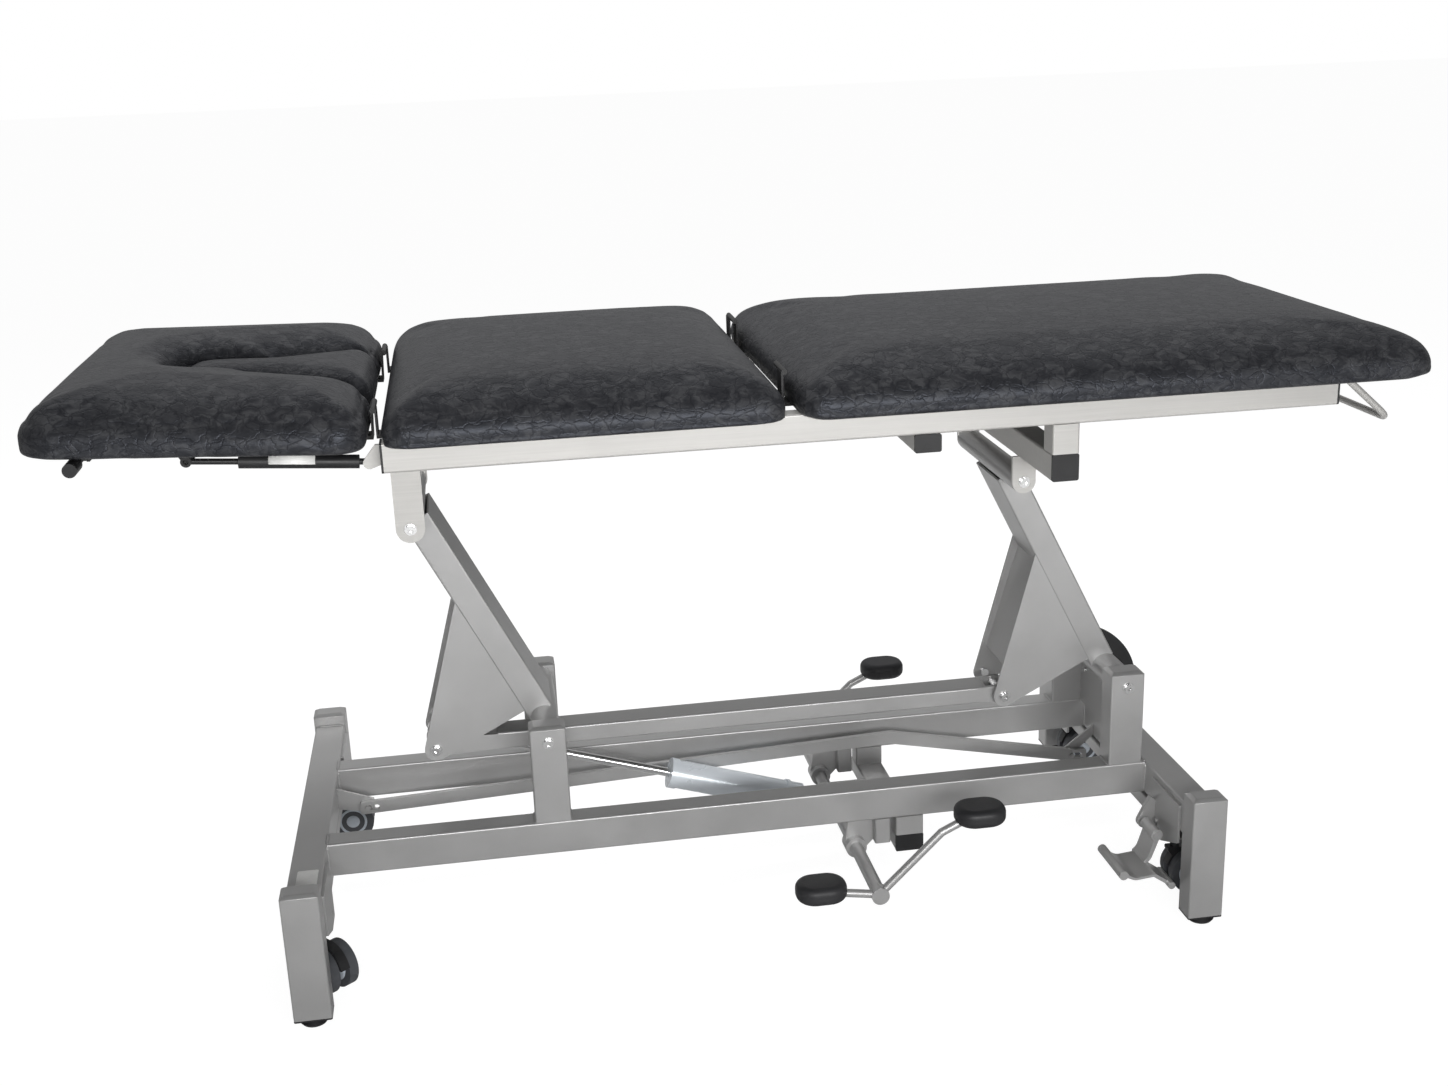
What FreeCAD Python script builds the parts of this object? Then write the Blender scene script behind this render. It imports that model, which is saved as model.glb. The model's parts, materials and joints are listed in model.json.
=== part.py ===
import FreeCAD, Part
import Sketcher
import math
import os
import re

# Treatment table: three padded sections on a frame that two parallel cranks lift from a tube base.
# X runs along the table with the head at -X, Y across it, Z up from the floor, in millimetres.

SIZES = {
    # Base frame
    "base_mid_x": -15,
    "leg_pitch": 1283,
    "leg_w": 52,
    "leg_d": 38,
    "leg_out_y": 334,
    "leg_low": 12.5,
    "leg_high": 197,
    "leg_cap": 3,
    "beam_w": 47,
    "frame_low": 130,
    "frame_h": 51,
    "rail_out_y": 149,
    "rail_w": 38,
    "wall": 2.5,
    "edge_r": 3,
    "post_w": 53,
    "post_d": 40,
    "post_high": 326,
    "glide_r": 20,
    "glide_rim": 4,
    "insert_rim": 2.5,
    "insert_depth": 18,
    # Lift cranks
    "pivot_z": 306.4,
    "pivot_offset": -291.6,
    "arm_pitch": 877,
    "arm_len": 373.3,
    "arm_lean": 26.5,
    "arm_w": 40,
    "arm_deep": 110,
    "arm_wall": 3,
    "sleeve_r": 21,
    "head_tube_r": 18,
    "pin_r": 8,
    "run_gap": 0.06,
    "side_gap": 0.3,
    "bolt_head_r": 6.4,
    "bolt_head_h": 4.5,
    "washer_r": 8.6,
    "washer_h": 1.6,
    "horn_out": 161.5,
    "horn_up": 41.4,
    "horn_r": 17,
    "gusset_top": 225,
    "gusset_foot": 26,
    "gusset_t": 4,
    "web_in": 9,
    "shaft_r": 10,
    "shaft_end_y": 10,
    # Tie bar between the two crank horns
    "tie_w": 46,
    "tie_h": 27,
    "tie_y": -21,
    "tie_eye_r": 15,
    "lug_t": 6,
    "tie_lug_left": 92,
    "tie_lug_right": 26,
    # Hydraulic lift
    "jack_y": 27,
    "jack_base_x": 113,
    "jack_base_z": 88,
    "jack_r": 22.5,
    "jack_tube": 205,
    "jack_overlap": 43,
    "rod_r": 7,
    "rod_eye_r": 14,
    "rod_eye_w": 16,
    "gland_r": 24,
    "gland_h": 12,
    "jack_cheek_t": 5,
    # Pump carried under the rails
    "hanger_t": 6,
    "hanger_x": 188,
    "hanger_w": 24,
    "hanger_low": 90,
    "pump_tube_x": 229.6,
    "pump_tube_w": 43,
    "pump_tube_h": 27,
    "pump_tube_low": 73,
    "pump_block_l": 78,
    "pump_block_w": 62,
    "pump_block_h": 32,
    "bearing_r": 16,
    "cap_t": 4,
    # Pump pedals
    "pedal_x": 147.6,
    "pedal_z": 84,
    "pedal_y": 290,
    "pedal_tube_r": 10,
    "pad_right_dx": 148,
    "pad_right_dz": 113,
    "pad_left_dx": -86,
    "pad_left_dz": 18,
    "pad_l": 74,
    "pad_w": 60,
    "pad_h": 27,
    "pad_edge_r": 10,
    "pedal_bar_r": 6,
    # Castor lift
    "castor_y": 232,
    "castor_trail": 22,
    "wheel_r": 34,
    "wheel_w": 15,
    "wheel_rise": 8,
    "castor_turn": -50,
    "wheel_gap": 16,
    "carrier_w": 30,
    "carrier_h": 22,
    "carrier_low": 100,
    "guide_t": 4,
    "guide_low": 86.5,
    "guide_high": 172,
    "guide_in_y": 183,
    "guide_out_y": 285,
    "guide_slot_w": 8.4,
    "guide_travel": 15,
    "guide_pin_r": 4,
    "guide_pin_y": 207,
    "link_y": 62,
    "link_h": 20,
    "link_t": 8,
    "link_travel": 14,
    "link_end_x": -600,
    "link_left_z": 133,
    "link_kink_x": 253,
    "tread_x": 583,
    "tread_z": 108,
    "tread_r": 7,
    "tread_out_y": 295,
    "tread_in_y": 206,
    "tread_hub_y": 250,
    # Upper frame
    "top_rail_y": 285,
    "top_rail_w": 30,
    "top_rail_h": 40,
    "top_over_pivot": 117.52,
    "top_left": -493,
    "top_right": 801,
    "cross_w": 40,
    "cross_h": 30,
    "cross_drop": 5,
    "bracket_y": 140,
    "bracket_t": 6,
    "bracket_left_w": 40,
    "bracket_right_w": 35,
    "drop_x": 413,
    "drop_w": 38,
    "drop_under": 79.5,
    "under_x": 221,
    "under_w": 37,
    "under_h": 25,
    # Padded sections
    "pad_half_y": 325,
    "board_t": 10,
    "board_in": 25,
    "foam_low": 2,
    "foam_h": 62,
    "foam_edge_r": 33,
    "foam_head_r": 22,
    "foam_low_r": 13,
    "foam_corner_r": 38,
    "split_head": -503,
    "gap_head": 12,
    "split_long": 37.5,
    "gap_long": 9,
    "head_end": -940,
    "long_end": 940,
    "head_hinge_up": 32,
    "long_hinge_up": 47,
    "head_tilt": 2.3,
    "head_end_half": 296,
    "leaf_t": 2.5,
    "leaf_w": 60,
    "leaf_y": 205,
    "leaf_foot_t": 5,
    "leaf_reach": 46,
    "knuckle_r": 4,
    "hinge_pin_r": 2,
    "sub_h": 20,
    "sub_w": 30,
    "sub_in_y": 210,
    "slot_tip": -276,
    "slot_half": 60,
    "slot_mouth": 130,
    "slot_flare": -155,
    "slot_tip_r": 57,
    "slot_ledge": 14,
    "plug_gap": 3,
    # Gas springs
    "spring_y": -245,
    "spring_base_x": -512,
    "spring_base_up": 8,
    "spring_end_dx": -237,
    "spring_end_dz": -47,
    "spring_r": 9,
    "spring_rod_r": 4,
    "spring_tube": 150,
    "spring_eye_r": 7,
    "spring_eye_w": 9,
    "spring_pin_r": 3.5,
    "spring_lug_t": 4,
    "head_lever_x": -868,
    "head_lever_z": -50,
    "lever_in": 103,
    "lever_short": 23,
    "long_spring_y": -160,
    "long_spring_x": 52,
    "long_spring_down": 8,
    "long_spring_dx": 300,
    "long_spring_dz": -60,
    "long_spring_tube": 205,
    # Round guard behind the right pivot
    "guard_x": 596.5,
    "guard_z": 188.5,
    "guard_r": 110,
    "guard_left": 548,
    "guard_t": 6,
    # Release handles
    "bail_r": 5,
    "bail_y": 205,
    "bail_x": 843,
    "bail_up": 30,
    "bail_dx": 85,
    "bail_dz": -77,
    "bail_bend": 24,
}

# Places worked out from the sizes above
PLACES = {
    "frame_high": "frame_low + frame_h",
    "leg_left_x": "base_mid_x - leg_pitch / 2",
    "leg_right_x": "base_mid_x + leg_pitch / 2",
    "beam_in_left": "leg_left_x + beam_w / 2",
    "beam_in_right": "leg_right_x - beam_w / 2",
    "leg_in_y": "leg_out_y - leg_d",
    "post_in_y": "rail_out_y - post_d",
    "pivot_left": "base_mid_x + pivot_offset",
    "pivot_right": "pivot_left + arm_pitch",
    "bore_r": "pin_r + run_gap",
    "shaft_bore_r": "shaft_r + run_gap",
    "top_low": "upper_z + top_over_pivot",
    "top_high": "top_low + top_rail_h",
    "drop_low": "top_low - drop_under",
    "head_hinge_z": "top_high + head_hinge_up",
    "long_hinge_z": "top_high + long_hinge_up",
    "spring_base_z": "top_low + spring_base_up",
    "long_spring_z": "top_low - long_spring_down",
    "bail_z": "top_low + bail_up",
    "head_lever_y": "pad_half_y - lever_in",
    "head_lever_out": "pad_half_y - lever_short",
    "top_rail_in": "top_rail_y - top_rail_w",
    "cross_low": "top_high - cross_drop - cross_h",
    "upper_z": "pivot_z + arm_len * cos(arm_lean * 1 deg)",
    "upper_left": "pivot_left - arm_len * sin(arm_lean * 1 deg)",
    "upper_right": "upper_left + arm_pitch",
    "horn_dx": "0 - horn_out * cos(arm_lean * 1 deg) - horn_up * sin(arm_lean * 1 deg)",
    "horn_dz": "horn_up * cos(arm_lean * 1 deg) - horn_out * sin(arm_lean * 1 deg)",
    "horn_left": "pivot_left + horn_dx",
    "horn_z": "pivot_z + horn_dz",
    "foam_z": "top_high + foam_low",
    "pump_tube_high": "pump_tube_low + pump_tube_h",
    "wheel_z": "wheel_r + wheel_rise",
    "castor_left_x": "leg_left_x + 7",
    "castor_right_x": "leg_right_x - 7",
    "jack_dx": "jack_base_x - horn_left",
    "jack_dz": "horn_z - jack_base_z",
    "jack_len": "sqrt(jack_dx ^ 2 + jack_dz ^ 2)",
    "spring_end_x": "split_head + spring_end_dx",
    "spring_end_z": "head_hinge_z + spring_end_dz",
    "spring_dx": "spring_base_x - spring_end_x",
    "spring_dz": "spring_end_z - spring_base_z",
    "spring_len": "sqrt(spring_dx ^ 2 + spring_dz ^ 2)",
    "long_dx": "split_long + long_spring_dx - long_spring_x",
    "long_dz": "long_hinge_z + long_spring_dz - long_spring_z",
    "long_spring_len": "sqrt(long_dx ^ 2 + long_dz ^ 2)",
}

doc = FreeCAD.newDocument("treatment_table")
dims = doc.addObject("Spreadsheet::Sheet", "dims")
for row, (alias, value) in enumerate(SIZES.items(), start=1):
    dims.set("A%d" % row, alias)
    dims.set("B%d" % row, str(value))
    dims.setAlias("B%d" % row, alias)
doc.recompute()

WORD = re.compile(r"[a-z_]+")
pieces = []


def formula(text):
    """Spell out a formula on the sheet's names."""

    def spell(match):
        word = match.group(0)
        if word in PLACES:
            return "(" + formula(PLACES[word]) + ")"
        if word in SIZES:
            return "dims." + word
        return word

    return WORD.sub(spell, str(text))


def value(text):
    """Number that a formula has now."""
    return float(dims.evalExpression(formula(text)))


def tie(item, name, text):
    item.setExpression(name, formula(text))


def put(item, x=0, y=0, z=0, lean=None, axis=(0, 1, 0)):
    """Place an item, with an optional turn about an axis through its own origin."""
    if lean is not None:
        item.Placement = FreeCAD.Placement(FreeCAD.Vector(),
                                           FreeCAD.Rotation(FreeCAD.Vector(*axis), value(lean)))
        tie(item, "Placement.Rotation.Angle", lean)
    tie(item, "Placement.Base.x", x)
    tie(item, "Placement.Base.y", y)
    tie(item, "Placement.Base.z", z)
    return item


def keep(item, label):
    """Make an item one of the table's pieces."""
    item.Label = label
    pieces.append(item)
    return item


def unit(ax, ay, bx, by):
    length = math.hypot(bx - ax, by - ay)
    return (bx - ax) / length, (by - ay) / length


def corner_points(corners):
    """Entry and exit point of each corner of an anticlockwise outline, with its arc."""
    count = len(corners)
    spots = [(value(c[-3]), value(c[-2]), value(c[-1])) if len(c) > 2 else (value(c[0]), value(c[1]), 0)
             for c in corners]
    touch = {}
    for i, corner in enumerate(corners):
        if corner[0] != "about":
            continue
        cx, cy, radius = spots[i]
        px, py, _ = spots[i - 1]
        nx, ny, _ = spots[(i + 1) % count]
        arrive = math.atan2(cy - py, cx - px) - math.asin(radius / math.hypot(cx - px, cy - py))
        leave = math.atan2(ny - cy, nx - cx) + math.asin(radius / math.hypot(nx - cx, ny - cy))
        entry = (cx + radius * math.sin(arrive), cy - radius * math.cos(arrive))
        exit_ = (cx + radius * math.sin(leave), cy - radius * math.cos(leave))
        touch[i] = (entry, exit_)
    found = []
    for i, corner in enumerate(corners):
        x, y, radius = spots[i]
        if i in touch:
            found.append((touch[i][0], touch[i][1], (x, y), True))
            continue
        before = (i - 1) % count
        after = (i + 1) % count
        from_x, from_y = touch[before][1] if before in touch else spots[before][:2]
        to_x, to_y = touch[after][0] if after in touch else spots[after][:2]
        ix, iy = unit(from_x, from_y, x, y)
        ox, oy = unit(x, y, to_x, to_y)
        if not radius:
            found.append(((x, y), (x, y), None, True))
            continue
        cross = ix * oy - iy * ox
        turn = abs(math.atan2(cross, ix * ox + iy * oy))
        reach = radius * math.tan(turn / 2)
        entry = (x - ix * reach, y - iy * reach)
        exit_ = (x + ox * reach, y + oy * reach)
        side = 1 if cross > 0 else -1
        centre = (entry[0] - iy * radius * side, entry[1] + ix * radius * side)
        found.append((entry, exit_, centre, cross > 0))
    return found


def draw(sketch, corners, holes=()):
    """Draw an anticlockwise outline and round holes, every size bound to the sheet.

    A corner is (x, y), (x, y, radius), or ("about", x, y, radius) for an arc with that centre.
    A hole is (x, y, radius).
    """
    vector = FreeCAD.Vector
    count = len(corners)
    places = corner_points(corners) if corners else []
    rules = []
    bound = []

    def rule(formula_text, *what):
        bound.append((len(rules), formula_text))
        rules.append(Sketcher.Constraint(*what))

    for i in range(count):
        start = places[i][1]
        end = places[(i + 1) % count][0]
        sketch.addGeometry(Part.LineSegment(vector(*start, 0), vector(*end, 0)), False)
    for i, corner in enumerate(corners):
        entry, exit_, centre, left = places[i]
        before = (i - 1) % count
        if centre is None:
            rules.append(Sketcher.Constraint("Coincident", before, 2, i, 1))
            rule(corner[0], "DistanceX", i, 1, entry[0])
            rule(corner[1], "DistanceY", i, 1, entry[1])
            continue
        radius = value(corner[-1])
        first, last = (entry, exit_) if left else (exit_, entry)
        angles = [math.atan2(p[1] - centre[1], p[0] - centre[0]) for p in (first, last)]
        circle = Part.Circle(vector(*centre, 0), vector(0, 0, 1), radius)
        arc = sketch.addGeometry(Part.ArcOfCircle(circle, *angles), False)
        near, far = (1, 2) if left else (2, 1)
        rules.append(Sketcher.Constraint("Tangent", before, 2, arc, near))
        rules.append(Sketcher.Constraint("Tangent", arc, far, i, 1))
        rule(corner[-1], "Radius", arc, radius)
        if corner[0] == "about":
            rule(corner[1], "DistanceX", arc, 3, centre[0])
            rule(corner[2], "DistanceY", arc, 3, centre[1])
            continue
        tip = sketch.addGeometry(Part.Point(vector(value(corner[0]), value(corner[1]), 0)), True)
        rules.append(Sketcher.Constraint("PointOnObject", tip, 1, before))
        rules.append(Sketcher.Constraint("PointOnObject", tip, 1, i))
        rule(corner[0], "DistanceX", tip, 1, value(corner[0]))
        rule(corner[1], "DistanceY", tip, 1, value(corner[1]))
    for x, y, radius in holes:
        middle = vector(value(x), value(y), 0)
        hole = sketch.addGeometry(Part.Circle(middle, vector(0, 0, 1), value(radius)), False)
        rule(x, "DistanceX", hole, 3, middle.x)
        rule(y, "DistanceY", hole, 3, middle.y)
        rule(radius, "Radius", hole, value(radius))
    sketch.addConstraint(rules)
    for index, formula_text in bound:
        tie(sketch, "Constraints[%d]" % index, formula_text)


def new_body():
    return doc.addObject("PartDesign::Body", "body")


def new_sketch(body, plane):
    sketch = body.newObject("Sketcher::SketchObject", "sketch")
    face = [f for f in body.Origin.OriginFeatures if f.Role == plane][0]
    sketch.AttachmentSupport = [(face, "")]
    sketch.MapMode = "FlatFace"
    return sketch


def pad(body, plane, corners, length, holes=(), flip=False):
    sketch = new_sketch(body, plane)
    draw(sketch, corners, holes)
    feature = body.newObject("PartDesign::Pad", "pad")
    feature.Profile = sketch
    tie(feature, "Length", length)
    feature.Reversed = flip
    return feature


def pocket(body, plane, corners, depth, flip=False):
    sketch = new_sketch(body, plane)
    draw(sketch, corners, ())
    feature = body.newObject("PartDesign::Pocket", "pocket")
    feature.Profile = sketch
    tie(feature, "Length", depth)
    feature.Reversed = flip
    return feature


def box_corners(across, up, radius=0, x="0", y="0"):
    """Corners of a rectangle about a centre, rounded if a radius is given."""
    corners = []
    for sx, sy in (("-", "-"), ("+", "-"), ("+", "+"), ("-", "+")):
        corner = ["%s %s (%s) / 2" % (x, sx, across), "%s %s (%s) / 2" % (y, sy, up)]
        if radius:
            corner.append(radius)
        corners.append(tuple(corner))
    return corners


PLANES = {"x": "YZ_Plane", "y": "XZ_Plane", "z": "XY_Plane"}


def plate(axis, corners, thick, x=0, y=0, z=0, holes=(), lean=None):
    """Flat plate drawn across an axis. It grows from its place towards the axis's positive side."""
    body = new_body()
    pad(body, PLANES[axis], corners, thick, holes, flip=(axis == "y"))
    return put(body, x, y, z, lean)


def tube(axis, length, across, up, x, y, z, wall="wall", radius="edge_r", capped=None):
    """Square tube along an axis, hollow, with rounded edges. A cap closes its far end."""
    body = new_body()
    flip = axis == "y"
    pad(body, PLANES[axis], box_corners(across, up, radius), length, flip=flip)
    inner = box_corners("%s - 2 * %s" % (across, wall), "%s - 2 * %s" % (up, wall))
    depth = "%s - %s" % (length, capped) if capped else length
    pocket(body, PLANES[axis], inner, depth, flip=not flip)
    return put(body, x, y, z)


def rod(axis, length, radius, x, y, z, bore=None, lean=None):
    """Round bar or tube along an axis."""
    holes = [("0", "0", radius)]
    if bore:
        holes.append(("0", "0", bore))
    return plate(axis, [], length, x, y, z, holes, lean)


def turned(corners, x=0, y=0, z=0, lean=None, axis=(0, 1, 0)):
    """Turned solid: an outline of (radius, height) about the vertical axis."""
    body = new_body()
    sketch = new_sketch(body, "XZ_Plane")
    draw(sketch, corners)
    feature = body.newObject("PartDesign::Revolution", "turn")
    feature.Profile = sketch
    feature.ReferenceAxis = (sketch, ["V_Axis"])
    feature.Angle = 360
    return put(body, x, y, z, lean, axis)


def group(label, members, x=0, y=0, z=0, lean=None, axis=(0, 1, 0)):
    """Several separate solids as one piece."""
    whole = doc.addObject("Part::Compound", "group")
    whole.Links = members
    return keep(put(whole, x, y, z, lean, axis), label)


def joined(members, x=0, y=0, z=0, lean=None, axis=(0, 1, 0)):
    """Members welded into one solid. A lone member is only moved."""
    if len(members) == 1:
        whole = doc.addObject("Part::Compound", "moved")
        whole.Links = members
    else:
        whole = doc.addObject("Part::MultiFuse", "joined")
        whole.Shapes = members
    return put(whole, x, y, z, lean, axis)


def minus(base, tool, x=0, y=0, z=0, lean=None, axis=(0, 1, 0)):
    rest = doc.addObject("Part::Cut", "minus")
    rest.Base = base
    rest.Tool = tool
    return put(rest, x, y, z, lean, axis)


def bolt_head(x, y, z, facing):
    """Socket head on a washer, on a face that looks along Y."""
    side = "-" if facing < 0 else "+"
    holes = [("0", "0", "washer_r")]
    washer = plate("y", [], "washer_h", x, y if facing > 0 else "%s - washer_h" % y, z, holes)
    start = "%s + washer_h" % y if facing > 0 else "%s - washer_h - bolt_head_h" % y
    head = plate("y", [], "bolt_head_h", x, start, z, [("0", "0", "bolt_head_r")])
    socket = plate("y", hexagon("bolt_head_r * 0.5"), "bolt_head_h * 0.6", x,
                   "%s %s washer_h %s bolt_head_h * %s" % (y, side, side, 0.4 if facing > 0 else 1), z)
    return joined([washer, minus(head, socket)])


def hexagon(reach):
    """Corners of a hexagon with the given distance to its points."""
    corners = []
    for step in range(6):
        corners.append(("(%s) * cos(%d deg)" % (reach, 60 * step),
                        "(%s) * sin(%d deg)" % (reach, 60 * step)))
    return corners


# Cross beams, legs and feet at the two ends of the base
def base_ends():
    beams = []
    legs = []
    feet = []
    for x in ("leg_left_x", "leg_right_x"):
        beams.append(tube("y", "2 * leg_in_y", "beam_w", "frame_h", x, "0 - leg_in_y",
                          "frame_low + frame_h / 2"))
        for y in ("0 - leg_out_y + leg_d / 2", "leg_out_y - leg_d / 2"):
            legs.append(tube("z", "leg_high - leg_low", "leg_w", "leg_d", x, y, "leg_low",
                             capped="leg_cap"))
            feet.append(foot(x, y))
    group("crossbeams", beams)
    group("legs", legs)
    group("feet", feet)


def foot(x, y):
    """Plastic insert in the leg with a round glide below."""
    plug = plate("z", box_corners("leg_w - 2 * wall - side_gap", "leg_d - 2 * wall - side_gap"),
                 "insert_depth", x, y, "leg_low")
    rim = plate("z", box_corners("leg_w", "leg_d", "edge_r"), "insert_rim", x, y, "leg_low - insert_rim")
    glide = turned([("0", "0"), ("glide_r - 3", "0"), ("glide_r", "glide_rim"),
                    ("glide_r - 6", "leg_low - insert_rim"), ("0", "leg_low - insert_rim")], x, y, 0)
    return joined([plug, rim, glide])


# Long rails and the four pivot posts
def base_rails():
    length = "beam_in_right - beam_in_left"
    rails = []
    posts = []
    for sign in ("0 - ", "0 + "):
        y = sign + "(rail_out_y - rail_w / 2)"
        rails.append(tube("x", length, "rail_w", "frame_h", "beam_in_left", y, "frame_low + frame_h / 2"))
        for x in ("pivot_left", "pivot_right"):
            y_post = sign + "(rail_out_y - post_d / 2)"
            post = tube("z", "post_high - frame_high", "post_w", "post_d", x, y_post, "frame_high",
                        capped="leg_cap")
            hole = rod("y", "2 * rail_out_y", "pin_r", x, "0 - rail_out_y", "pivot_z")
            posts.append(minus(post, hole))
    group("base_rails", rails)
    group("pivot_posts", posts)


# Pivot bolts through the posts and the crank sleeves
def pivot_bolts():
    bolts = []
    for x in ("pivot_left", "pivot_right"):
        pin = rod("y", "2 * rail_out_y", "pin_r", x, "0 - rail_out_y", "pivot_z")
        front = bolt_head(x, "0 - rail_out_y", "pivot_z", -1)
        rear = bolt_head(x, "rail_out_y", "pivot_z", 1)
        bolts.append(joined([pin, front, rear]))
    for y in ("0 - post_in_y + 24", "post_in_y - 24"):
        for z in ("pivot_z - 40", "pivot_z - 62"):
            bolts.append(rod("x", "washer_h * 2", "pin_r / 2",
                             "pivot_right + post_w / 2 - 4 - washer_h * 2", y, z))
    group("pivot_bolts", bolts)


# Crank arms: a wide box tube between a sleeve on the base pivot and a cross tube at the top
def arms():
    for end, x in (("left", "pivot_left"), ("right", "pivot_right")):
        shank = tube("z", "arm_len - 24", "arm_w", "arm_deep", 0, 0, 12, "arm_wall")
        sleeve = rod("y", "2 * (post_in_y - side_gap)", "sleeve_r", 0, "0 - post_in_y + side_gap", 0)
        top = rod("y", "2 * (bracket_y - bracket_t - side_gap)", "head_tube_r", 0,
                  "0 - bracket_y + bracket_t + side_gap", "arm_len")
        low_bore = rod("y", "2 * rail_out_y", "bore_r", 0, "0 - rail_out_y", 0)
        top_bore = rod("y", "2 * rail_out_y", "bore_r", 0, "0 - rail_out_y", "arm_len")
        members = [shank, sleeve, top] + gusset_plates() + [gusset_web()]
        whole = minus(joined(members), joined([low_bore, top_bore]))
        keep(put(whole, x, 0, "pivot_z", "0 - arm_lean"), "crank_arm_" + end)
        horn_shaft(end, x)


def gusset_plates():
    """Two triangular side plates of a crank."""
    edge = "0 - arm_w / 2 + 1"
    outline = [(edge, "gusset_top"), ("about", "0 - horn_out", "horn_up", "horn_r"), (edge, "gusset_foot")]
    hole = [("0 - horn_out", "horn_up", "shaft_r * 0.6")]
    front = plate("y", outline, "gusset_t", 0, "0 - arm_deep / 2", 0, hole)
    rear = plate("y", outline, "gusset_t", 0, "arm_deep / 2 - gusset_t", 0, hole)
    return [front, rear]


def horn_shaft(end, x):
    """Shaft between the gussets at the horn, with its bolts."""
    half = "arm_deep / 2 - gusset_t"
    bar = rod("y", "%s + shaft_end_y" % half, "shaft_r", "0 - horn_out", "0 - (%s)" % half, "horn_up")
    stub = rod("y", "2 * gusset_t", "shaft_r * 0.6", "0 - horn_out", "0 - arm_deep / 2", "horn_up")
    front = bolt_head("0 - horn_out", "0 - arm_deep / 2", "horn_up", -1)
    rear = [rod("y", "2 * gusset_t", "shaft_r * 0.6", "0 - horn_out", "arm_deep / 2 - 2 * gusset_t",
                "horn_up"),
            bolt_head("0 - horn_out", "arm_deep / 2", "horn_up", 1)]
    group("horn_shaft_" + end, [joined([bar, stub, front]), joined(rear)], x, 0, "pivot_z", "0 - arm_lean")


def gusset_web():
    """Web that closes the outer side of the gussets, set in from their edge."""
    top_x, top_z = "0 - arm_w / 2", "gusset_top - web_in * 2.2"
    low_x = "0 - horn_out + horn_r + 6"
    low_z = "horn_up + horn_r + 22"
    thick = "gusset_t"
    outline = [(top_x, top_z), (low_x, low_z), ("%s + %s" % (low_x, thick), "%s - %s" % (low_z, thick)),
               (top_x, "%s - %s * 1.6" % (top_z, thick))]
    return plate("y", outline, "arm_deep - 2 * gusset_t", 0, "0 - arm_deep / 2 + gusset_t", 0)


# Tie bar that keeps the two cranks parallel
def tie_bar():
    left = "horn_left"
    length = "arm_pitch - tie_lug_left - tie_lug_right"
    bar = tube("x", length, "tie_w", "tie_h", "horn_left + tie_lug_left", "tie_y", "horn_z")
    lugs = []
    for x, reach in ((left, "tie_lug_left"), ("horn_left + arm_pitch", "0 - tie_lug_right")):
        for side in ("-", "+"):
            face = "tie_y %s (tie_w / 2 - %s)" % (side, "0" if side == "-" else "lug_t")
            low = "0 - tie_h * 0.4"
            high = "tie_h * 0.4"
            if reach == "tie_lug_left":
                outline = [("about", "0", "0", "tie_eye_r"), ("tie_lug_left + 20", low),
                           ("tie_lug_left + 20", high)]
            else:
                outline = [("about", "0", "0", "tie_eye_r"), ("0 - tie_lug_right - 20", high),
                           ("0 - tie_lug_right - 20", low)]
            lugs.append(plate("y", outline, "lug_t", x, face, "horn_z", [("0", "0", "shaft_bore_r")]))
    keep(joined([bar] + lugs), "tie_bar")


# Hydraulic jack: a cylinder on the pump and a chromed rod up to the left horn
def jack():
    lean = "0 - 90 + atan2(jack_dz; jack_dx) / 1 deg"
    start = "34"
    tube_end = "34 + jack_tube"
    shell = rod("z", "jack_tube", "jack_r", 0, 0, start, "rod_r + run_gap")
    gland = rod("z", "gland_h", "gland_r", 0, 0, "34 + jack_tube - gland_h", "rod_r + run_gap")
    base_cap = rod("z", "14", "jack_r", 0, 0, "20")
    eye = plate("y", [("about", "0", "0", "14"), ("14", "24"), ("-14", "24")], "22", 0, "0 - 11", 0,
                [("0", "0", "bore_r")])
    ring = rod("z", "6", "gland_r + 0.6", 0, 0, "34 + 8", "rod_r + run_gap")
    body = joined([shell, gland, base_cap, eye, ring], "jack_base_x", "jack_y", "jack_base_z", lean)
    keep(body, "jack_cylinder")
    rod_low = "%s - jack_overlap" % tube_end
    bar = rod("z", "jack_len - 10 - (%s)" % rod_low, "rod_r", 0, 0, rod_low)
    end = rod("y", "rod_eye_w", "rod_eye_r", 0, "0 - rod_eye_w / 2", "jack_len", "shaft_r + 2")
    keep(joined([bar, end], "jack_base_x", "jack_y", "jack_base_z", lean), "jack_rod")


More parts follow.
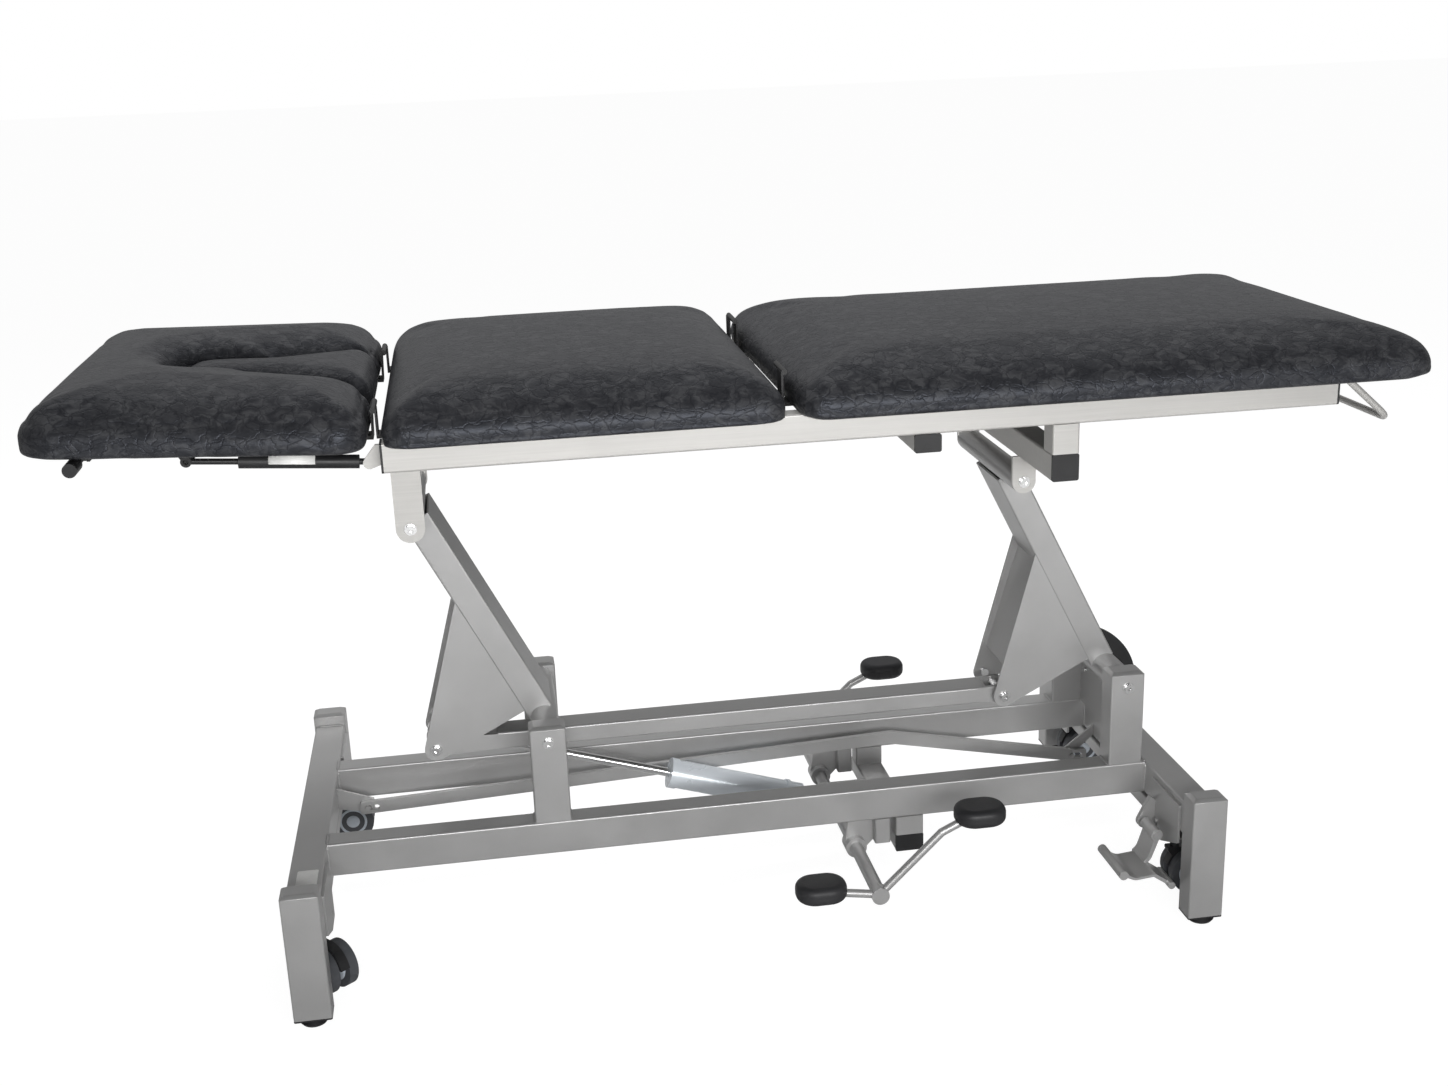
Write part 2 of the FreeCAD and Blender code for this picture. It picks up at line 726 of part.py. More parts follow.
# Pump block beside its cross tube, the stubs that hang the tube and the bearings of the pedal shaft
def pump():
    middle_y = "rail_out_y - rail_w / 2"
    hangers = []
    for sign in ("0 - ", "0 + "):
        y = "%s(%s)" % (sign, middle_y)
        hangers.append(tube("z", "frame_low - pump_tube_high", "pump_tube_w", "rail_w", "pump_tube_x", y,
                            "pump_tube_high"))
        hangers.append(shaft_bearing(y))
    group("pump_hangers", hangers)
    middle = "pump_tube_low + pump_tube_h / 2"
    half = "(rail_out_y - cap_t)"
    cross = tube("y", "2 * " + half, "pump_tube_w", "pump_tube_h", "pump_tube_x", "0 - " + half, middle)
    keep(cross, "pump_cross_tube")
    caps = [plate("y", box_corners("pump_tube_w", "pump_tube_h", 2), "cap_t", "pump_tube_x", y, middle)
            for y in ("0 - rail_out_y", half)]
    group("pump_tube_caps", caps)
    left = "(pump_tube_x - pump_tube_w / 2 - pump_block_l)"
    low = "(pump_tube_high - pump_block_h)"
    block = plate("z", box_corners("pump_block_l", "pump_block_w", 5), "pump_block_h",
                  left + " + pump_block_l / 2", "jack_y", low)
    shaft_hole = rod("y", "2 * pump_block_w", "pedal_tube_r + run_gap", "pedal_x", "jack_y - pump_block_w",
                     "pedal_z")
    cheeks = []
    face = left + " - jack_base_x"
    for y in ("jack_y - 11 - side_gap - jack_cheek_t", "jack_y + 11 + side_gap"):
        outline = [(face, "-13"), (face, "12"), ("about", "0", "0", "12")]
        cheeks.append(plate("y", outline, "jack_cheek_t", "jack_base_x", y, "jack_base_z",
                            [("0", "0", "pin_r")]))
    half_pin = "11 + side_gap + jack_cheek_t"
    pin = rod("y", "2 * (%s)" % half_pin, "pin_r", "jack_base_x", "jack_y - (%s)" % half_pin, "jack_base_z")
    keep(joined([minus(block, shaft_hole), pin] + cheeks), "pump_block")


def shaft_bearing(y):
    """Post under a rail with a sleeve for the pedal shaft."""
    post = tube("z", "frame_low - hanger_low", "hanger_w", "rail_w", "hanger_x", y, "hanger_low")
    edge = "hanger_x - hanger_w / 2 - pedal_x"
    web = plate("y", [("about", "0", "0", "bearing_r"), (edge, "hanger_low - pedal_z"),
                      (edge, "frame_low - pedal_z"),
                      ("-8", "frame_low - pedal_z")], "hanger_t", "pedal_x", y + " - hanger_t / 2",
                      "pedal_z")
    sleeve = rod("y", "rail_w - 8", "bearing_r", "pedal_x", y + " - rail_w / 2 + 4", "pedal_z")
    bore = rod("y", "2 * rail_w", "pedal_tube_r + run_gap", "pedal_x", y + " - rail_w", "pedal_z")
    return minus(joined([post, web, sleeve]), bore)


# Pump pedals: one shaft across the table with a forked lever and two pads at each side
def pedals():
    half = "pedal_y - pedal_bar_r"
    shaft = rod("y", "2 * (%s)" % half, "pedal_tube_r", "pedal_x", "0 - (%s)" % half, "pedal_z")
    cam = plate("y", [("about", "0", "0", "pedal_tube_r + 5"), ("34", "-10"), ("34", "0")], "12",
                "pedal_x", "jack_y - pump_block_w / 2 - 16", "pedal_z", [("0", "0", "pedal_tube_r")])
    keep(joined([shaft, cam]), "pedal_shaft")
    levers = []
    pads = []
    for y in ("0 - pedal_y", "pedal_y"):
        hub = rod("y", "2 * pedal_bar_r + 4", "pedal_tube_r + 3", "pedal_x",
                  "%s - pedal_bar_r - 2" % y, "pedal_z")
        bars = [bar_between(y, "0", "0", "pad_right_dx * 0.62", "pad_right_dz * 0.78"),
                bar_between(y, "pad_right_dx * 0.62", "pad_right_dz * 0.78", "pad_right_dx - 12",
                            "pad_right_dz - 4"),
                bar_between(y, "0", "0", "pad_left_dx + 12", "pad_left_dz - 6"),
                knob(y, "pad_right_dx * 0.62", "pad_right_dz * 0.78")]
        levers.append(joined([hub] + bars))
        for dx, dz in (("pad_right_dx", "pad_right_dz"), ("pad_left_dx", "pad_left_dz")):
            pads.append(pedal_pad("pedal_x + " + dx, y, "pedal_z + " + dz))
    group("pedal_levers", levers)
    group("pedal_pads", pads)


def knob(y, dx, dz):
    ball = doc.addObject("Part::Sphere", "ball")
    tie(ball, "Radius", "pedal_bar_r")
    return put(ball, "pedal_x + " + dx, y, "pedal_z + " + dz)


def bar_between(y, x_a, z_a, x_b, z_b):
    """Round bar of a pedal lever between two points of its plane."""
    run = "((%s) - (%s))" % (x_b, x_a)
    rise = "((%s) - (%s))" % (z_b, z_a)
    lean = "90 - atan2(%s; %s) / 1 deg" % (rise, run)
    length = "sqrt(%s ^ 2 + %s ^ 2)" % (run, rise)
    return rod("z", length, "pedal_bar_r", "pedal_x + " + x_a, y, "pedal_z + " + z_a, lean=lean)


def pedal_pad(x, y, z):
    """Oval rubber pad with well rounded edges."""
    body = new_body()
    half_l = "pad_l / 2"
    half_w = "pad_w / 2"
    corners = [("0 - " + half_l, "0 - " + half_w, "pad_w * 0.46"),
               (half_l, "0 - " + half_w, "pad_w * 0.46"),
               (half_l, half_w, "pad_w * 0.46"), ("0 - " + half_l, half_w, "pad_w * 0.46")]
    pad(body, "XY_Plane", corners, "pad_h")
    doc.recompute()
    tip = body.Tip
    rims = [("Edge%d" % (i + 1)) for i, e in enumerate(tip.Shape.Edges)
            if e.BoundBox.ZMax - e.BoundBox.ZMin < 1e-6]
    rounded = body.newObject("PartDesign::Fillet", "rounded")
    rounded.Base = (tip, rims)
    tie(rounded, "Radius", "pad_edge_r")
    body.Tip = rounded
    return put(body, x, y, "%s - pad_h / 2" % z)


# Castor gear: carriers that slide in slotted guides, twin wheels, link bar and tread
def castors():
    plates = []
    for end, x in (("left", "castor_left_x"), ("right", "castor_right_x")):
        middle = "carrier_low + carrier_h / 2"
        bar = tube("y", "2 * (castor_y + 24)", "carrier_w", "carrier_h", x, "0 - castor_y - 24", middle)
        sheets, pins = guides(end)
        plates += sheets
        keep(joined([bar] + pins), "castor_carrier_" + end)
        for side, y in (("front", "0 - castor_y"), ("rear", "castor_y")):
            castor(side + "_" + end, x, y, "castor_turn" if (side, end) == ("front", "left") else "0")
    group("castor_guides", plates + link_guides())


def guides(end):
    """Slotted plates on the inner face of a cross beam and the carrier's pins in their slots."""
    face = "beam_in_left" if end == "left" else "beam_in_right - guide_t"
    carrier = "castor_left_x + carrier_w / 2" if end == "left" else "castor_right_x - carrier_w / 2"
    plates = []
    pins = []
    pin_z = "carrier_low + carrier_h / 2"
    low = "%s - guide_travel - guide_slot_w / 2" % pin_z
    high = "%s + guide_slot_w / 2" % pin_z
    for sign in ("-", "+"):
        inner = "0 %s guide_in_y" % sign
        outer = "0 %s guide_out_y" % sign
        ring = [(inner, "guide_low", 3), (inner, "guide_high", 3), (outer, "guide_high", 3),
                (outer, "guide_low + 24", 3), ("0 %s (guide_in_y + 44)" % sign, "guide_low", 3)]
        sheet_corners = ring if sign == "-" else ring[::-1]
        body = new_body()
        pad(body, "YZ_Plane", sheet_corners, "guide_t")
        slot_y = "0 %s guide_pin_y" % sign
        slot = box_corners("guide_slot_w", "(%s) - (%s)" % (high, low), "guide_slot_w * 0.49", slot_y,
                           "((%s) + (%s)) / 2" % (high, low))
        pocket(body, "YZ_Plane", slot, "guide_t", flip=True)
        plates.append(put(body, face, 0, 0))
        start = "(%s) - 4" % carrier if end == "left" else "(%s) - 3" % face
        length = "abs((%s) - (%s)) + guide_t + 4" % (face, carrier)
        pins.append(rod("x", length, "guide_pin_r", start, slot_y, pin_z))
    return plates, pins


def castor(name, x, y, turn):
    """Twin wheels on an axle under a hood, turned about the stem."""
    upright = (0, 0, 1)
    inner = "(wheel_gap - 1.2)"
    stem = rod("z", "carrier_low - wheel_z - wheel_r + 2", 7, 0, 0, "wheel_z + wheel_r - 2")
    spine = plate("y", [("0 - 13", "wheel_r - 2", 3), ("about", "castor_trail", "0", "9"),
                        ("castor_trail + 9", "wheel_r - 2", 2), ("castor_trail - 2", "wheel_r + 3", 2),
                        ("0 - 13", "wheel_r + 3", 2)], inner, 0, "0 - %s / 2" % inner, "wheel_z",
                  [("castor_trail", "0", "4")])
    hood = minus(rod("y", inner, "wheel_r + 3", "castor_trail", "0 - %s / 2" % inner, "wheel_z",
                     "wheel_r - 6"),
                 plate("z", box_corners("4 * wheel_r", "4 * wheel_r"), "2 * wheel_r", "castor_trail", 0,
                       "wheel_z - 2 * wheel_r + 8"))
    keep(joined([stem, spine, hood], x, y, 0, turn, upright), "castor_hood_" + name)
    half = "(wheel_gap / 2 + wheel_w)"
    wheels = [rod("y", "wheel_w", "wheel_r", "castor_trail", begin, "wheel_z")
              for begin in ("0 - " + half, "wheel_gap / 2")]
    axle = rod("y", "2 * " + half, "4 - run_gap", "castor_trail", "0 - " + half, "wheel_z")
    keep(joined(wheels + [axle], x, y, 0, turn, upright), "castor_wheels_" + name)


# Foot tread of the castor gear and the bar that links the two carriers
def castor_tread():
    inner = "0 - tread_in_y"
    length = "tread_out_y - tread_in_y"
    front = "0 - tread_out_y"
    hub = rod("y", "tread_hub_y - tread_in_y", 9, "tread_x", "0 - tread_hub_y", "tread_z")
    left = rod("y", length, "tread_r", "tread_x - 68", front, "tread_z - 36")
    right = rod("y", "tread_out_y - tread_hub_y + 5", "tread_r - 1.5", "tread_x + 7", front, "tread_z - 61")
    dish = plate("y", [("-68", "-40"), ("-48", "-49", 16), ("-16", "-46"), ("-16", "-42"),
                       ("-48", "-45", 16),
                       ("-64", "-36")], "%s - 12" % length, "tread_x", front + " + 6", "tread_z")
    rise = plate("y", [("-20", "-46"), ("-10", "-44", 18), ("4", "-6"), ("-3", "-4"), ("-14", "-38", 18),
                       ("-20", "-42")], "tread_hub_y - tread_in_y", "tread_x", "0 - tread_hub_y", "tread_z")
    drop = plate("y", [("-20", "-46"), ("6", "-64"), ("8", "-59"), ("-16", "-42")],
                 "tread_out_y - tread_hub_y",
                 "tread_x", front + " + 6", "tread_z")
    bore = rod("y", length, "pedal_bar_r + run_gap", "tread_x", front, "tread_z")
    keep(minus(joined([hub, left, right, dish, rise, drop]), bore), "castor_tread")
    pin = rod("y", "tread_hub_y + 2 - tread_in_y + 12", "pedal_bar_r", "tread_x", "0 - tread_hub_y - 2",
              "tread_z")
    arm = plate("y", [("about", "0", "0", "11"), ("beam_in_right - guide_t - tread_x", "4"),
                      ("beam_in_right - guide_t - tread_x", "34"),
                      ("beam_in_right - guide_t - tread_x - 8", "40")],
                "8", "tread_x", "%s + 4.5" % inner, "tread_z")
    keep(joined([pin, arm]), "tread_pivot")
    link_bar()


def link_bar():
    """Flat bar between the two ends of the castor gear, cranked past the pump."""
    body = new_body()
    half = "link_h / 2"
    pad(body, "XZ_Plane", [("link_end_x", "link_left_z - " + half, 4), ("link_kink_x - 2", "156"),
                           ("beam_in_right - 40", "92"), ("beam_in_right - 14", "92", 5),
                           ("beam_in_right - 14", "112", 5), ("beam_in_right - 34", "112"),
                           ("link_kink_x + 2", "176"), ("link_end_x", "link_left_z + " + half, 4)],
        "link_t", flip=True)
    for x, z in (("link_end_x + 19", "link_left_z + 0.7"), ("beam_in_right - 32", "102")):
        slot = box_corners("guide_slot_w + link_travel", "guide_slot_w", "guide_slot_w * 0.49", x, z)
        pocket(body, "XZ_Plane", slot, "link_t")
    keep(put(body, 0, "link_y", 0), "castor_link_bar")


def link_guides():
    """Plates on the cross beams, each with a pin in a slot of the link bar."""
    found = []
    y = "link_y + link_t + side_gap"
    for face, far, x, low, high in (("beam_in_left", "link_end_x + 22",
                                     "link_end_x + 19 - link_travel / 2 + 0.2",
                                     "121", "166"),
                                    ("beam_in_right", "beam_in_right - 48",
                                     "beam_in_right - 32 - link_travel / 2 + 0.2", "90", "150")):
        corners = [(face, "frame_low + 2"), (far, low), (far, "%s + 24" % low), (face, high)]
        if face == "beam_in_right":
            corners = [(far, low), (face, "frame_low + 2"), (face, high), (far, "%s + 24" % low)]
        sheet = plate("y", corners, "guide_t", 0, y, 0)
        z = "link_left_z + 0.7" if face == "beam_in_left" else "102"
        pin = rod("y", "link_t + side_gap + guide_t + 2", "guide_pin_r", x, "link_y - 2", z)
        found.append(joined([sheet, pin]))
    return found


# Closing plate and round guard at the right pivot
def right_end():
    cover = plate("x", box_corners("2 * post_in_y - 2 * side_gap", "post_high - frame_high - 40"), 4,
                  "pivot_right + post_w / 2 - 4", 0, "(post_high + frame_high - 40) / 2")
    keep(cover, "end_plate")
    disc = rod("y", "guard_t", "guard_r", "guard_x", "rail_out_y", "guard_z")
    below = plate("y", box_corners("2 * guard_r", "2 * guard_r"), "guard_t", "guard_x", "rail_out_y",
                  "frame_high - guard_r")
    beyond = plate("y", box_corners("guard_r", "2 * guard_r"), "guard_t", "guard_left - guard_r / 2",
                   "rail_out_y",
                   "guard_z")
    keep(minus(disc, joined([below, beyond])), "pivot_guard")


# Upper frame rails, cross tubes, drop frame and crank brackets
def upper_frame():
    length = "top_right - top_left"
    rails = []
    caps = []
    for sign in ("0 - ", "0 + "):
        y = sign + "(top_rail_y - top_rail_w / 2)"
        middle = "top_low + top_rail_h / 2"
        rails.append(tube("x", length, "top_rail_w", "top_rail_h", "top_left", y, middle))
        for x in ("top_left - 3", "top_right"):
            caps.append(plate("x", box_corners("top_rail_w", "top_rail_h", "edge_r"), 3, x, y, middle))
    group("top_rails", rails)
    crosses = [tube("y", "2 * top_rail_in", "cross_w", "cross_h", x, "0 - top_rail_in",
                    "cross_low + cross_h / 2")
               for x in ("upper_left", "split_long - 3.5 - cross_w / 2")]
    under_z = "top_low - under_h / 2"
    half = "(top_rail_y - cap_t)"
    crosses.append(tube("y", "2 * " + half, "under_w", "under_h", "under_x", "0 - " + half, under_z))
    group("upper_cross_tubes", crosses)
    drop_z = "drop_low + drop_w / 2"
    dropped = [tube("y", "2 * " + half, "drop_w", "drop_w", "drop_x", "0 - " + half, drop_z)]
    for sign in ("0 - ", "0 + "):
        dropped.append(tube("z", "top_low - drop_low - drop_w", "drop_w", "drop_w", "drop_x",
                            sign + "(top_rail_y - drop_w / 2)", "drop_low + drop_w"))
    group("drop_frame", dropped)
    for x, z, across, up in (("under_x", under_z, "under_w", "under_h"),
                             ("drop_x", drop_z, "drop_w", "drop_w")):
        for y in ("0 - top_rail_y", "top_rail_y - cap_t"):
            caps.append(plate("y", box_corners(across, up, "edge_r"), "cap_t", x, y, z))
    group("upper_tube_caps", caps)
    brackets()


def brackets():
    """Plates that carry the tops of the cranks, with their bolts."""
    plates = []
    bolts = []
    for x, top, width in (("upper_left", "cross_low", "bracket_left_w"),
                          ("upper_right", "drop_low", "bracket_right_w")):
        for y in ("0 - bracket_y", "bracket_y - bracket_t"):
            half = "(%s) / 2" % width
            outline = [("0 - " + half, "%s - upper_z" % top), ("about", "0", "0", half),
                       (half, "%s - upper_z" % top)]
            plates.append(plate("y", outline, "bracket_t", x, y, "upper_z", [("0", "0", "pin_r")]))
        pin = rod("y", "2 * bracket_y", "pin_r", x, "0 - bracket_y", "upper_z")
        heads = [bolt_head(x, "0 - bracket_y", "upper_z", -1), bolt_head(x, "bracket_y", "upper_z", 1)]
        bolts.append(joined([pin] + heads))
    group("crank_brackets", plates)
    group("bracket_bolts", bolts)


# Padded sections: board, foam cushion and hinge leaves
def cushion(corners, height, x, y, z, board=None, lean=None, edge="foam_edge_r"):
    """Foam block on an outline, with rounded upper and lower edges and a recess for its board."""
    body = new_body()
    pad(body, "XY_Plane", corners, height)
    doc.recompute()
    tip = body.Tip
    high = [("Edge%d" % (i + 1)) for i, e in enumerate(tip.Shape.Edges)
            if abs(e.BoundBox.ZMin - value(height)) < 1e-6]
    crown = body.newObject("PartDesign::Fillet", "crown")
    crown.Base = (tip, high)
    tie(crown, "Radius", edge)
    doc.recompute()
    low = [("Edge%d" % (i + 1)) for i, e in enumerate(crown.Shape.Edges) if abs(e.BoundBox.ZMax) < 1e-6]
    under = body.newObject("PartDesign::Fillet", "under")
    under.Base = (crown, low)
    tie(under, "Radius", "foam_low_r")
    body.Tip = under
    if board:
        pocket(body, "XY_Plane", board, "board_t - foam_low + side_gap", flip=True)
    return put(body, x, y, z, lean)


def middle_section():
    left = "split_head + gap_head / 2"
    right = "split_long - gap_long / 2"
    plain_section("middle", left, right, "foam_corner_r", "foam_corner_r")


def long_section():
    plain_section("long", "split_long + gap_long / 2", "long_end", "foam_corner_r", "foam_corner_r * 1.3")


def plain_section(name, left, right, r_left, r_right):
    corners = [(left, "0 - pad_half_y", r_left), (right, "0 - pad_half_y", r_right),
               (right, "pad_half_y", r_right), (left, "pad_half_y", r_left)]
    inset = [("%s + board_in - side_gap" % left, "0 - pad_half_y + board_in - side_gap"),
             ("%s - board_in + side_gap" % right, "0 - pad_half_y + board_in - side_gap"),
             ("%s - board_in + side_gap" % right, "pad_half_y - board_in + side_gap"),
             ("%s + board_in - side_gap" % left, "pad_half_y - board_in + side_gap")]
    keep(cushion(corners, "foam_h", 0, 0, "foam_z", inset), name + "_cushion")
    board = [("%s + board_in" % left, "0 - pad_half_y + board_in"),
             ("%s - board_in" % right, "0 - pad_half_y + board_in"),
             ("%s - board_in" % right, "pad_half_y - board_in"),
             ("%s + board_in" % left, "pad_half_y - board_in")]
    keep(plate("z", board, "board_t", 0, 0, "top_high"), name + "_board")


def hinge_leaves(foot_low, foot_high, direction, inner, outer, reach, with_pin):
    """Upright leaves beside a hinge line at the origin, each with a knuckle and a foot under the board."""
    leaves = []
    near = "%s * knuckle_r / 2" % direction
    far = "%s * (knuckle_r / 2 + leaf_t)" % direction
    for sign in (-1, 1):
        y = "0 - %s" % outer if sign < 0 else inner
        width = "%s - %s" % (outer, inner)
        upright = [(near, foot_low), (far, foot_low), (far, "0"), (near, "0")]
        foot_ends = [near, "%s * (%s)" % (direction, reach)]
        if direction < 0:
            upright = [(far, foot_low), (near, foot_low), (near, "0"), (far, "0")]
            foot_ends.reverse()
        foot_corners = [(foot_ends[0], foot_low), (foot_ends[1], foot_low), (foot_ends[1], foot_high),
                        (foot_ends[0], foot_high)]
        members = [plate("y", upright, width, 0, y, 0), plate("y", foot_corners, width, 0, y, 0)]
        if with_pin:
            members.append(rod("y", width, "knuckle_r", 0, y, 0))
            start = "0 - leaf_y - leaf_w / 2" if sign < 0 else "leaf_y - leaf_w / 2"
            members.append(rod("y", "leaf_w", "hinge_pin_r", 0, start, 0))
            leaves.append(joined(members))
        else:
            members.append(rod("y", width, "knuckle_r", 0, y, 0))
            bore = rod("y", width, "hinge_pin_r + run_gap", 0, y, 0)
            leaves.append(minus(joined(members), bore))
    return leaves


def fixed_leaves():
    inner = "(leaf_y + side_gap / 2)"
    outer = "(leaf_y + leaf_w / 2)"
    leaves = []
    for x, z, direction in (("split_head", "head_hinge_z", 1), ("split_long", "long_hinge_z", -1)):
        low = "top_high - leaf_foot_t - %s" % z
        for leaf in hinge_leaves(low, "top_high - %s" % z, direction, inner, outer, "leaf_reach", True):
            leaves.append(joined([leaf], x, 0, z))
    group("hinge_leaves", leaves)


def moving_leaves(foot_low, foot_high, direction, reach):
    inner = "(leaf_y - leaf_w / 2)"
    outer = "(leaf_y - side_gap / 2)"
    return hinge_leaves(foot_low, foot_high, direction, inner, outer, reach, False)


# Head section, built about its hinge line and tilted with it
def head_section():
    hinge = ("split_head", 0, "head_hinge_z", "head_tilt")
    right = "0 - gap_head / 2"
    left = "head_end - split_head"
    low = "(foam_z - head_hinge_z)"
    outline = head_outline(left, right, "head_end_half", "pad_half_y", "0", "foam_corner_r")
    keep(cushion(outline, "foam_h", "split_head + %s * sin(head_tilt * 1 deg)" % low, 0,
                 "head_hinge_z + %s * cos(head_tilt * 1 deg)" % low, None, "head_tilt", "foam_head_r"),
                 "head_cushion")
    board_low = "%s - board_t" % low
    inset = head_outline(left + " + board_in", right + " - board_in", "head_end_half - board_in",
                         "pad_half_y - board_in", "slot_ledge", 12)
    board = plate("z", inset, "board_t", 0, 0, board_low)
    keep(joined([board], *hinge), "head_board")
    gap = "plug_gap"
    plug = [(right, "0 - slot_mouth + " + gap, 26), (right, "slot_mouth - " + gap, 26),
            ("slot_flare + " + gap, "slot_half - " + gap, 60), ("slot_tip + " + gap, "slot_half - " + gap,
                                                                "slot_tip_r - 4"),
            ("slot_tip + " + gap, "0 - slot_half + " + gap, "slot_tip_r - 4"),
            ("slot_flare + " + gap, "0 - slot_half + " + gap, 60)]
    keep(cushion(plug, "foam_h", "split_head + (%s + side_gap) * sin(head_tilt * 1 deg)" % low, 0,
                 "head_hinge_z + (%s + side_gap) * cos(head_tilt * 1 deg)" % low, None, "head_tilt",
                 "foam_head_r"), "head_plug")
    head_subframe(hinge, board_low)


def head_outline(left, right, half_left, half_right, ledge, corner):
    """Outline of the head section with the face slot open towards the hinge."""
    mouth = "(slot_mouth - %s)" % ledge
    half = "(slot_half - %s)" % ledge
    tip = "(slot_tip + %s)" % ledge
    flare = "(slot_flare + %s)" % ledge
    tip_r = "slot_tip_r - %s" % ledge
    return [(left, "0 - (%s)" % half_left, "(%s) * 1.5" % corner), (right, "0 - (%s)" % half_right, corner),
            (right, "0 - " + mouth, 26), (flare, "0 - " + half, 60), (tip, "0 - " + half, tip_r),
            (tip, half, tip_r), (flare, half, 60), (right, mouth, 26),
            (right, half_right, corner), (left, half_left, "(%s) * 1.5" % corner)]


def head_subframe(hinge, board_low):
    """Steel frame under the head board, with the moving hinge leaves."""
    low = "(%s - sub_h)" % board_low
    middle = "%s + sub_h / 2" % low
    end = "(head_end - split_head + 60)"
    members = []
    for y in ("0 - leaf_y + leaf_w / 4", "leaf_y - leaf_w / 4"):
        members.append(tube("x", "0 - %s - 30" % end, "sub_w", "sub_h", end, y, middle))
    members.append(tube("y", "2 * (leaf_y - leaf_w / 2) + 4", "sub_w", "sub_h", end + " + sub_w / 2",
                        "0 - leaf_y + leaf_w / 2 - 2", middle))
    members += moving_leaves("%s - leaf_foot_t" % board_low, board_low, -1, "leaf_reach + 10")
    members += head_lug() + lever_cheeks()
    keep(joined(members, *hinge), "head_subframe")


# Steel frame under the long board, with moving hinge leaves and the pins of the release bail
def long_subframe():
    hinge = ("split_long", 0, "long_hinge_z")
    board_low = "(top_high - long_hinge_z)"
    low = "(%s - sub_h)" % board_low
    middle = "%s + sub_h / 2" % low
    start = "(board_in)"
    length = "(long_end - split_long - 55 - %s)" % start
    members = []
    for y in ("0 - sub_in_y - sub_w / 2", "sub_in_y + sub_w / 2"):
        members.append(tube("x", length, "sub_w", "sub_h", start, y, middle))
    for x in ("350", "%s + %s - sub_w / 2 - 55" % (start, length)):
        members.append(tube("y", "2 * sub_in_y + 4", "sub_w", "sub_h", x, "0 - sub_in_y - 2", middle))
    members += moving_leaves("%s - leaf_foot_t" % board_low, board_low, 1, "leaf_reach + 6")
    for y in ("0 - sub_in_y - 2", "leaf_y - leaf_w / 2"):
        members.append(plate("z", [("knuckle_r / 2", "0"), ("leaf_reach + 6", "0"),
                                   ("leaf_reach + 6", "sub_in_y + 2 - leaf_y + leaf_w / 2"),
                                   ("knuckle_r / 2", "sub_in_y + 2 - leaf_y + leaf_w / 2")],
                             "leaf_foot_t", 0, y, "%s - leaf_foot_t" % board_low))
    lug_y = "long_spring_y + spring_eye_w / 2 + spring_lug_t + side_gap"
    lug = plate("y", [("about", "long_spring_dx", "long_spring_dz", "spring_eye_r"),
                      ("long_spring_dx + 22", board_low), ("long_spring_dx - 22", board_low)],
                "spring_lug_t", 0, lug_y, 0)
    stub = rod("y", "spring_lug_t * 2", "spring_pin_r", "long_spring_dx",
               "long_spring_y + spring_eye_w / 2 + side_gap", "long_spring_dz")
    members += [lug, stub]
    for y in ("0 - sub_in_y", "sub_in_y - 14"):
        members.append(rod("y", "14", "spring_pin_r", "bail_x - split_long", y, "bail_z - long_hinge_z"))
    keep(joined(members, *hinge), "long_subframe")


# Release bail under the long end: a bent round bar on two pins
def bail():
    length = "sqrt(bail_dx ^ 2 + bail_dz ^ 2)"
    straight = "(%s - bail_bend)" % length
    lean = "0 - atan2(bail_dx; 0 - bail_dz) / 1 deg"
    members = []
    for sign in (-1, 1):
        leg_y = "0 - bail_y" if sign < 0 else "bail_y"
        members.append(rod("z", straight, "bail_r", 0, leg_y, "0 - " + straight))
        hub_y = "0 - sub_in_y + side_gap" if sign < 0 else "sub_in_y - side_gap - 2 * bail_r"
        members.append(rod("y", "2 * bail_r", "bail_r + 3", 0, hub_y, 0))
        bend = doc.addObject("Part::Torus", "bend")
        tie(bend, "Radius1", "bail_bend")
        tie(bend, "Radius2", "bail_r")
        bend.Angle3 = 90
        turn = FreeCAD.Rotation(FreeCAD.Vector(0, 1, 0), FreeCAD.Vector(0, 0, -1),
                                FreeCAD.Vector(-1, 0, 0), "XYZ")
        if sign < 0:
            turn = FreeCAD.Rotation(FreeCAD.Vector(0, 0, -1), FreeCAD.Vector(0, -1, 0),
                                    FreeCAD.Vector(-1, 0, 0), "XYZ")
        bend.Placement = FreeCAD.Placement(FreeCAD.Vector(), turn)
        bend_y = "0 - bail_y + bail_bend" if sign < 0 else "bail_y - bail_bend"
        members.append(put(bend, 0, bend_y, "0 - " + straight))
    members.append(rod("y", "2 * (bail_y - bail_bend)", "bail_r", 0, "0 - bail_y + bail_bend",
                       "0 - " + length))
    bore = rod("y", "2 * sub_in_y", "spring_pin_r + run_gap", 0, "0 - sub_in_y", 0)
    keep(minus(joined(members), bore, "bail_x", 0, "bail_z", lean), "release_bail")


